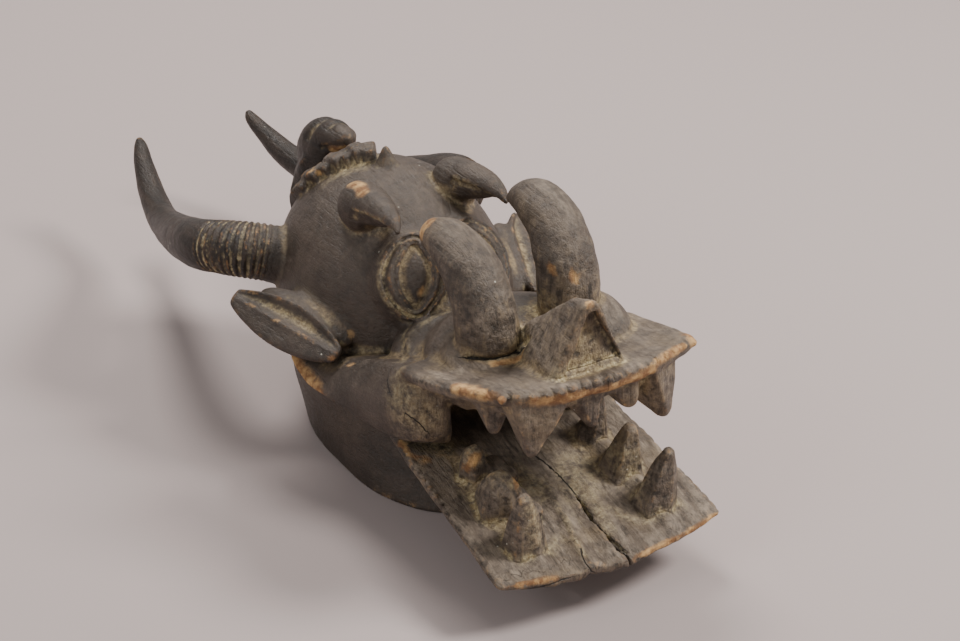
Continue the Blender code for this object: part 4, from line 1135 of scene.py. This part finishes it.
def wood_material():
    """Dark wood with dust, ochre and pale earth, painted shade in hollows, splits, bare edges and flecks."""
    g = Graph("carved_wood")
    place = g.node("ShaderNodeTexCoord").outputs["Object"]
    crease, raised, occlusion = g.mask("crease"), g.mask("raised"), g.mask("occlusion")
    fresh, cream, dusty, brown = g.mask("fresh"), g.mask("cream"), g.mask("dusty"), g.mask("brown")
    upward, ribs, inner = g.mask("upward"), g.mask("ribs"), g.mask("inner")
    valley = g.mask("valley")
    cloud = g.noise(place, 16.0, 5.0, 0.6)
    mottle = g.noise(place, 105.0, 7.0, 0.72)
    fine = g.noise(place, 260.0, 5.0, 0.7)
    grain = g.noise(g.stretched(place, (260.0, 22.0, 260.0)), 1.0, 4.0, 0.6, 0.4)
    streak = g.noise(g.stretched(place, (90.0, 9.0, 90.0)), 1.0, 5.0, 0.6, 0.6)

    # Dark ground, browner at the horns and the back, with dust on what faces up
    dark = g.mix(g.step(cloud, 0.34, 0.66), (0.036, 0.0245, 0.0175), (0.074, 0.052, 0.038))
    dark = g.mix(g.times(g.step(mottle, 0.50, 0.74), 0.50), dark, (0.135, 0.100, 0.075))
    dark = g.mix(g.times(g.step(mottle, 0.50, 0.30), 0.45), dark, (0.026, 0.019, 0.015))
    horn = g.mix(g.step(streak, 0.35, 0.7), (0.012, 0.0072, 0.0047), (0.038, 0.0225, 0.0140))
    tone = g.mix(brown, dark, horn)
    dust = g.mix(g.step(streak, 0.34, 0.66), (0.150, 0.112, 0.082), (0.310, 0.245, 0.185))
    dust_share = g.line(upward, 0.60, g.times(dusty, 0.60))
    dust_share = g.times(dust_share, g.line(g.step(mottle, 0.34, 0.64), 0.62, 0.38))
    dust_share = g.times(dust_share, g.line(dusty, 0.70, 0.26))
    dust_share = g.times(dust_share, g.line(brown, -0.8, 1.0))
    tone = g.mix(g.held(dust_share), tone, dust)
    tone = g.mix(g.times(g.step(grain, 0.50, 0.72), g.line(dusty, 0.45, 0.18)),
                 tone, (0.030, 0.022, 0.016))

    # Ochre earth settled broadly in the valleys, painted shade in the deepest places
    ochre = g.mix(g.step(fine, 0.36, 0.66), (0.165, 0.112, 0.058), (0.360, 0.260, 0.140))
    settled = g.times(g.step(valley, 0.02, 0.36), g.line(g.step(mottle, 0.36, 0.60), 0.75, 0.25))
    settled = g.line(g.times(dusty, g.step(cloud, 0.50, 0.66)), 0.42, settled)
    settled = g.times(settled, g.line(brown, -0.6, 1.0))
    tone = g.mix(g.held(settled, 0.78), tone, ochre)
    # Steep faces of the teeth and gums: strokes that run up them
    rising = g.noise(g.stretched(place, (150.0, 150.0, 13.0)), 1.0, 5.0, 0.65, 0.5)
    steep = g.times(dusty, g.step(upward, 0.75, 0.35))
    strokes = g.line(mottle, 0.6, g.times(rising, 0.7))
    tone = g.mix(g.times(steep, g.times(g.step(strokes, 0.66, 0.80), 0.8)), tone, (0.250, 0.185, 0.115))
    tone = g.mix(g.times(steep, g.times(g.step(strokes, 0.64, 0.50), 0.75)), tone, SOOT_AND_SHADE)
    # Painted shade: near-black where nearby wood covers the surface and in creases, a little less on the jaws
    painted_shade = g.line(occlusion, 0.95, g.times(crease, 0.25))
    tone = g.mix(g.step(g.line(dusty, -0.12, painted_shade), 0.38, 1.05), tone, SOOT_AND_SHADE)
    earth = g.math("ADD", g.times(cream, 0.85), g.times(ribs, 1.1))
    earth = g.math("ADD", earth, g.line(dusty, 0.30, 0.40))
    earth = g.times(earth, g.step(crease, 0.10, 0.55))
    earth = g.math("ADD", earth, g.times(cream, 0.60))
    earth = g.times(earth, g.step(mottle, 0.36, 0.62))
    pale = g.mix(g.step(fine, 0.35, 0.65), (0.30, 0.215, 0.105), (0.60, 0.50, 0.30))
    tone = g.mix(g.held(earth, 0.85), tone, pale)

    split = split_mark(g, place, upward)
    tone = g.mix(g.times(split, 0.94), tone, (0.010, 0.007, 0.005))

    # Edges rubbed back to the wood
    rub = g.times(g.step(raised, 0.10, 0.75), g.step(mottle, 0.40, 0.60))
    rub = g.line(rub, 0.72, fresh)
    patchy = g.math("ADD", g.noise(place, 120.0, 5.0, 0.7), g.times(fresh, 0.22))
    rub = g.times(rub, g.step(patchy, 0.46, 0.62))
    bare = g.mix(g.step(g.noise(place, 85.0, 4.0, 0.6), 0.38, 0.66), (0.26, 0.125, 0.050), (0.66, 0.40, 0.17))
    tone = g.mix(g.held(rub, 0.88), tone, bare)

    # Inside of the helmet: paler, unpainted wood
    raw = g.mix(g.step(streak, 0.3, 0.7), (0.075, 0.050, 0.033), (0.155, 0.110, 0.074))
    tone = g.mix(g.times(inner, 0.85), tone, raw)

    # Small white flecks
    flecks = g.node("ShaderNodeTexVoronoi", {"Vector": place, "Scale": 95.0})
    keep = g.step(g.noise(place, 21.0, 2.0), 0.60, 0.66)
    dots = g.times(g.math("LESS_THAN", flecks.outputs["Distance"], 0.085), keep)
    tone = g.mix(g.times(dots, 0.8), tone, (0.62, 0.58, 0.48))
    g.feed(g.shader.inputs["Base Color"], tone)

    rough = g.blend(g.step(mottle, 0.35, 0.7), 0.40, 0.56)
    rough = g.blend(g.held(dust_share, 0.8), rough, 0.80)
    rough = g.blend(g.held(g.math("ADD", rub, earth)), rough, 0.85)
    g.feed(g.shader.inputs["Roughness"], rough)
    g.shader.inputs["Specular IOR Level"].default_value = 0.5

    relief = g.line(g.step(grain, 0.42, 0.72), -0.30, g.times(mottle, 0.8))
    relief = g.line(fine, 0.75, relief)
    relief = g.line(rub, -0.30, relief)
    relief = g.line(g.times(streak, dusty), 1.1, relief)
    relief = g.line(g.times(rising, steep), 2.2, relief)
    relief = g.line(split, -2.5, relief)
    bump = g.node("ShaderNodeBump", {"Strength": 0.80, "Distance": 0.0018, "Height": relief})
    g.feed(g.shader.inputs["Normal"], bump.outputs["Normal"])
    return g.material


def floor_material():
    g = Graph("pale_floor")
    g.shader.inputs["Base Color"].default_value = (0.472, 0.396, 0.380, 1)
    g.shader.inputs["Roughness"].default_value = 0.95
    g.shader.inputs["Specular IOR Level"].default_value = 0.1
    return g.material


def stage_and_lights():
    mesh = bpy.data.meshes.new("floor")
    mesh.from_pydata([(-9, -9, 0), (9, -9, 0), (9, 14, 0), (-9, 14, 0)], [], [(0, 1, 2, 3)])
    floor = bpy.data.objects.new("floor", mesh)
    bpy.context.scene.collection.objects.link(floor)
    mesh.materials.append(floor_material())

    world = bpy.data.worlds.new("studio")
    world.use_nodes = True
    world.node_tree.nodes["Background"].inputs["Color"].default_value = (1.0, 0.99, 0.98, 1)
    world.node_tree.nodes["Background"].inputs["Strength"].default_value = 0.36
    bpy.context.scene.world = world

    def soft_light(name, place, aim, size, watts, tint):
        light = bpy.data.lights.new(name, "AREA")
        light.shape = "DISK"
        light.size = size
        light.energy = watts
        light.color = tint
        lamp = bpy.data.objects.new(name, light)
        bpy.context.scene.collection.objects.link(lamp)
        lamp.location = place
        lamp.rotation_mode = "QUATERNION"
        lamp.rotation_quaternion = (Vector(aim) - Vector(place)).to_track_quat("-Z", "Y")

    soft_light("key", (1.9, -1.5, 2.5), (0, -0.1, 0.15), 1.0, 118, (1.0, 0.98, 0.95))
    soft_light("fill", (-2.6, -0.6, 1.9), (0, -0.1, 0.15), 1.6, 20, (0.97, 0.985, 1.0))
    soft_light("top", (0.3, 1.5, 2.8), (0, 0, 0.2), 1.2, 74, (1.0, 0.97, 0.94))


def photo_camera():
    """Camera at the photograph's angle: position from the rim's centre, lens and aim."""
    turn, lift = math.radians(-30.63), math.radians(30.0)
    back = Vector((math.sin(turn) * math.cos(lift), -math.cos(turn) * math.cos(lift), math.sin(lift)))
    aim = Vector((-0.08676, -0.251 + SHIFT_Y, 0.290))
    distance = 2.69788
    data = bpy.data.cameras.new("photo_camera")
    data.lens = 110.0
    data.sensor_width = 36.0
    camera = bpy.data.objects.new("photo_camera", data)
    bpy.context.scene.collection.objects.link(camera)
    camera.location = aim + back * distance
    camera.rotation_mode = "QUATERNION"
    camera.rotation_quaternion = (-back).to_track_quat("-Z", "Y")
    bpy.context.scene.camera = camera


def main():
    photo_camera()
    field = build_field()
    mask = bpy.data.objects.new("carved_mask", skin(field))
    bpy.context.scene.collection.objects.link(mask)
    keep_largest(mask.data)
    thin(mask, SKIN_TRIANGLES)
    paint(mask, field)
    mask.data.transform(Matrix.Translation((0, SHIFT_Y, 0)))
    mask.data.materials.append(wood_material())
    mask.data.shade_smooth()
    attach(mask, "root")
    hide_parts("helmet_mask")
    stage_and_lights()
    bpy.context.view_layer.update()


main()
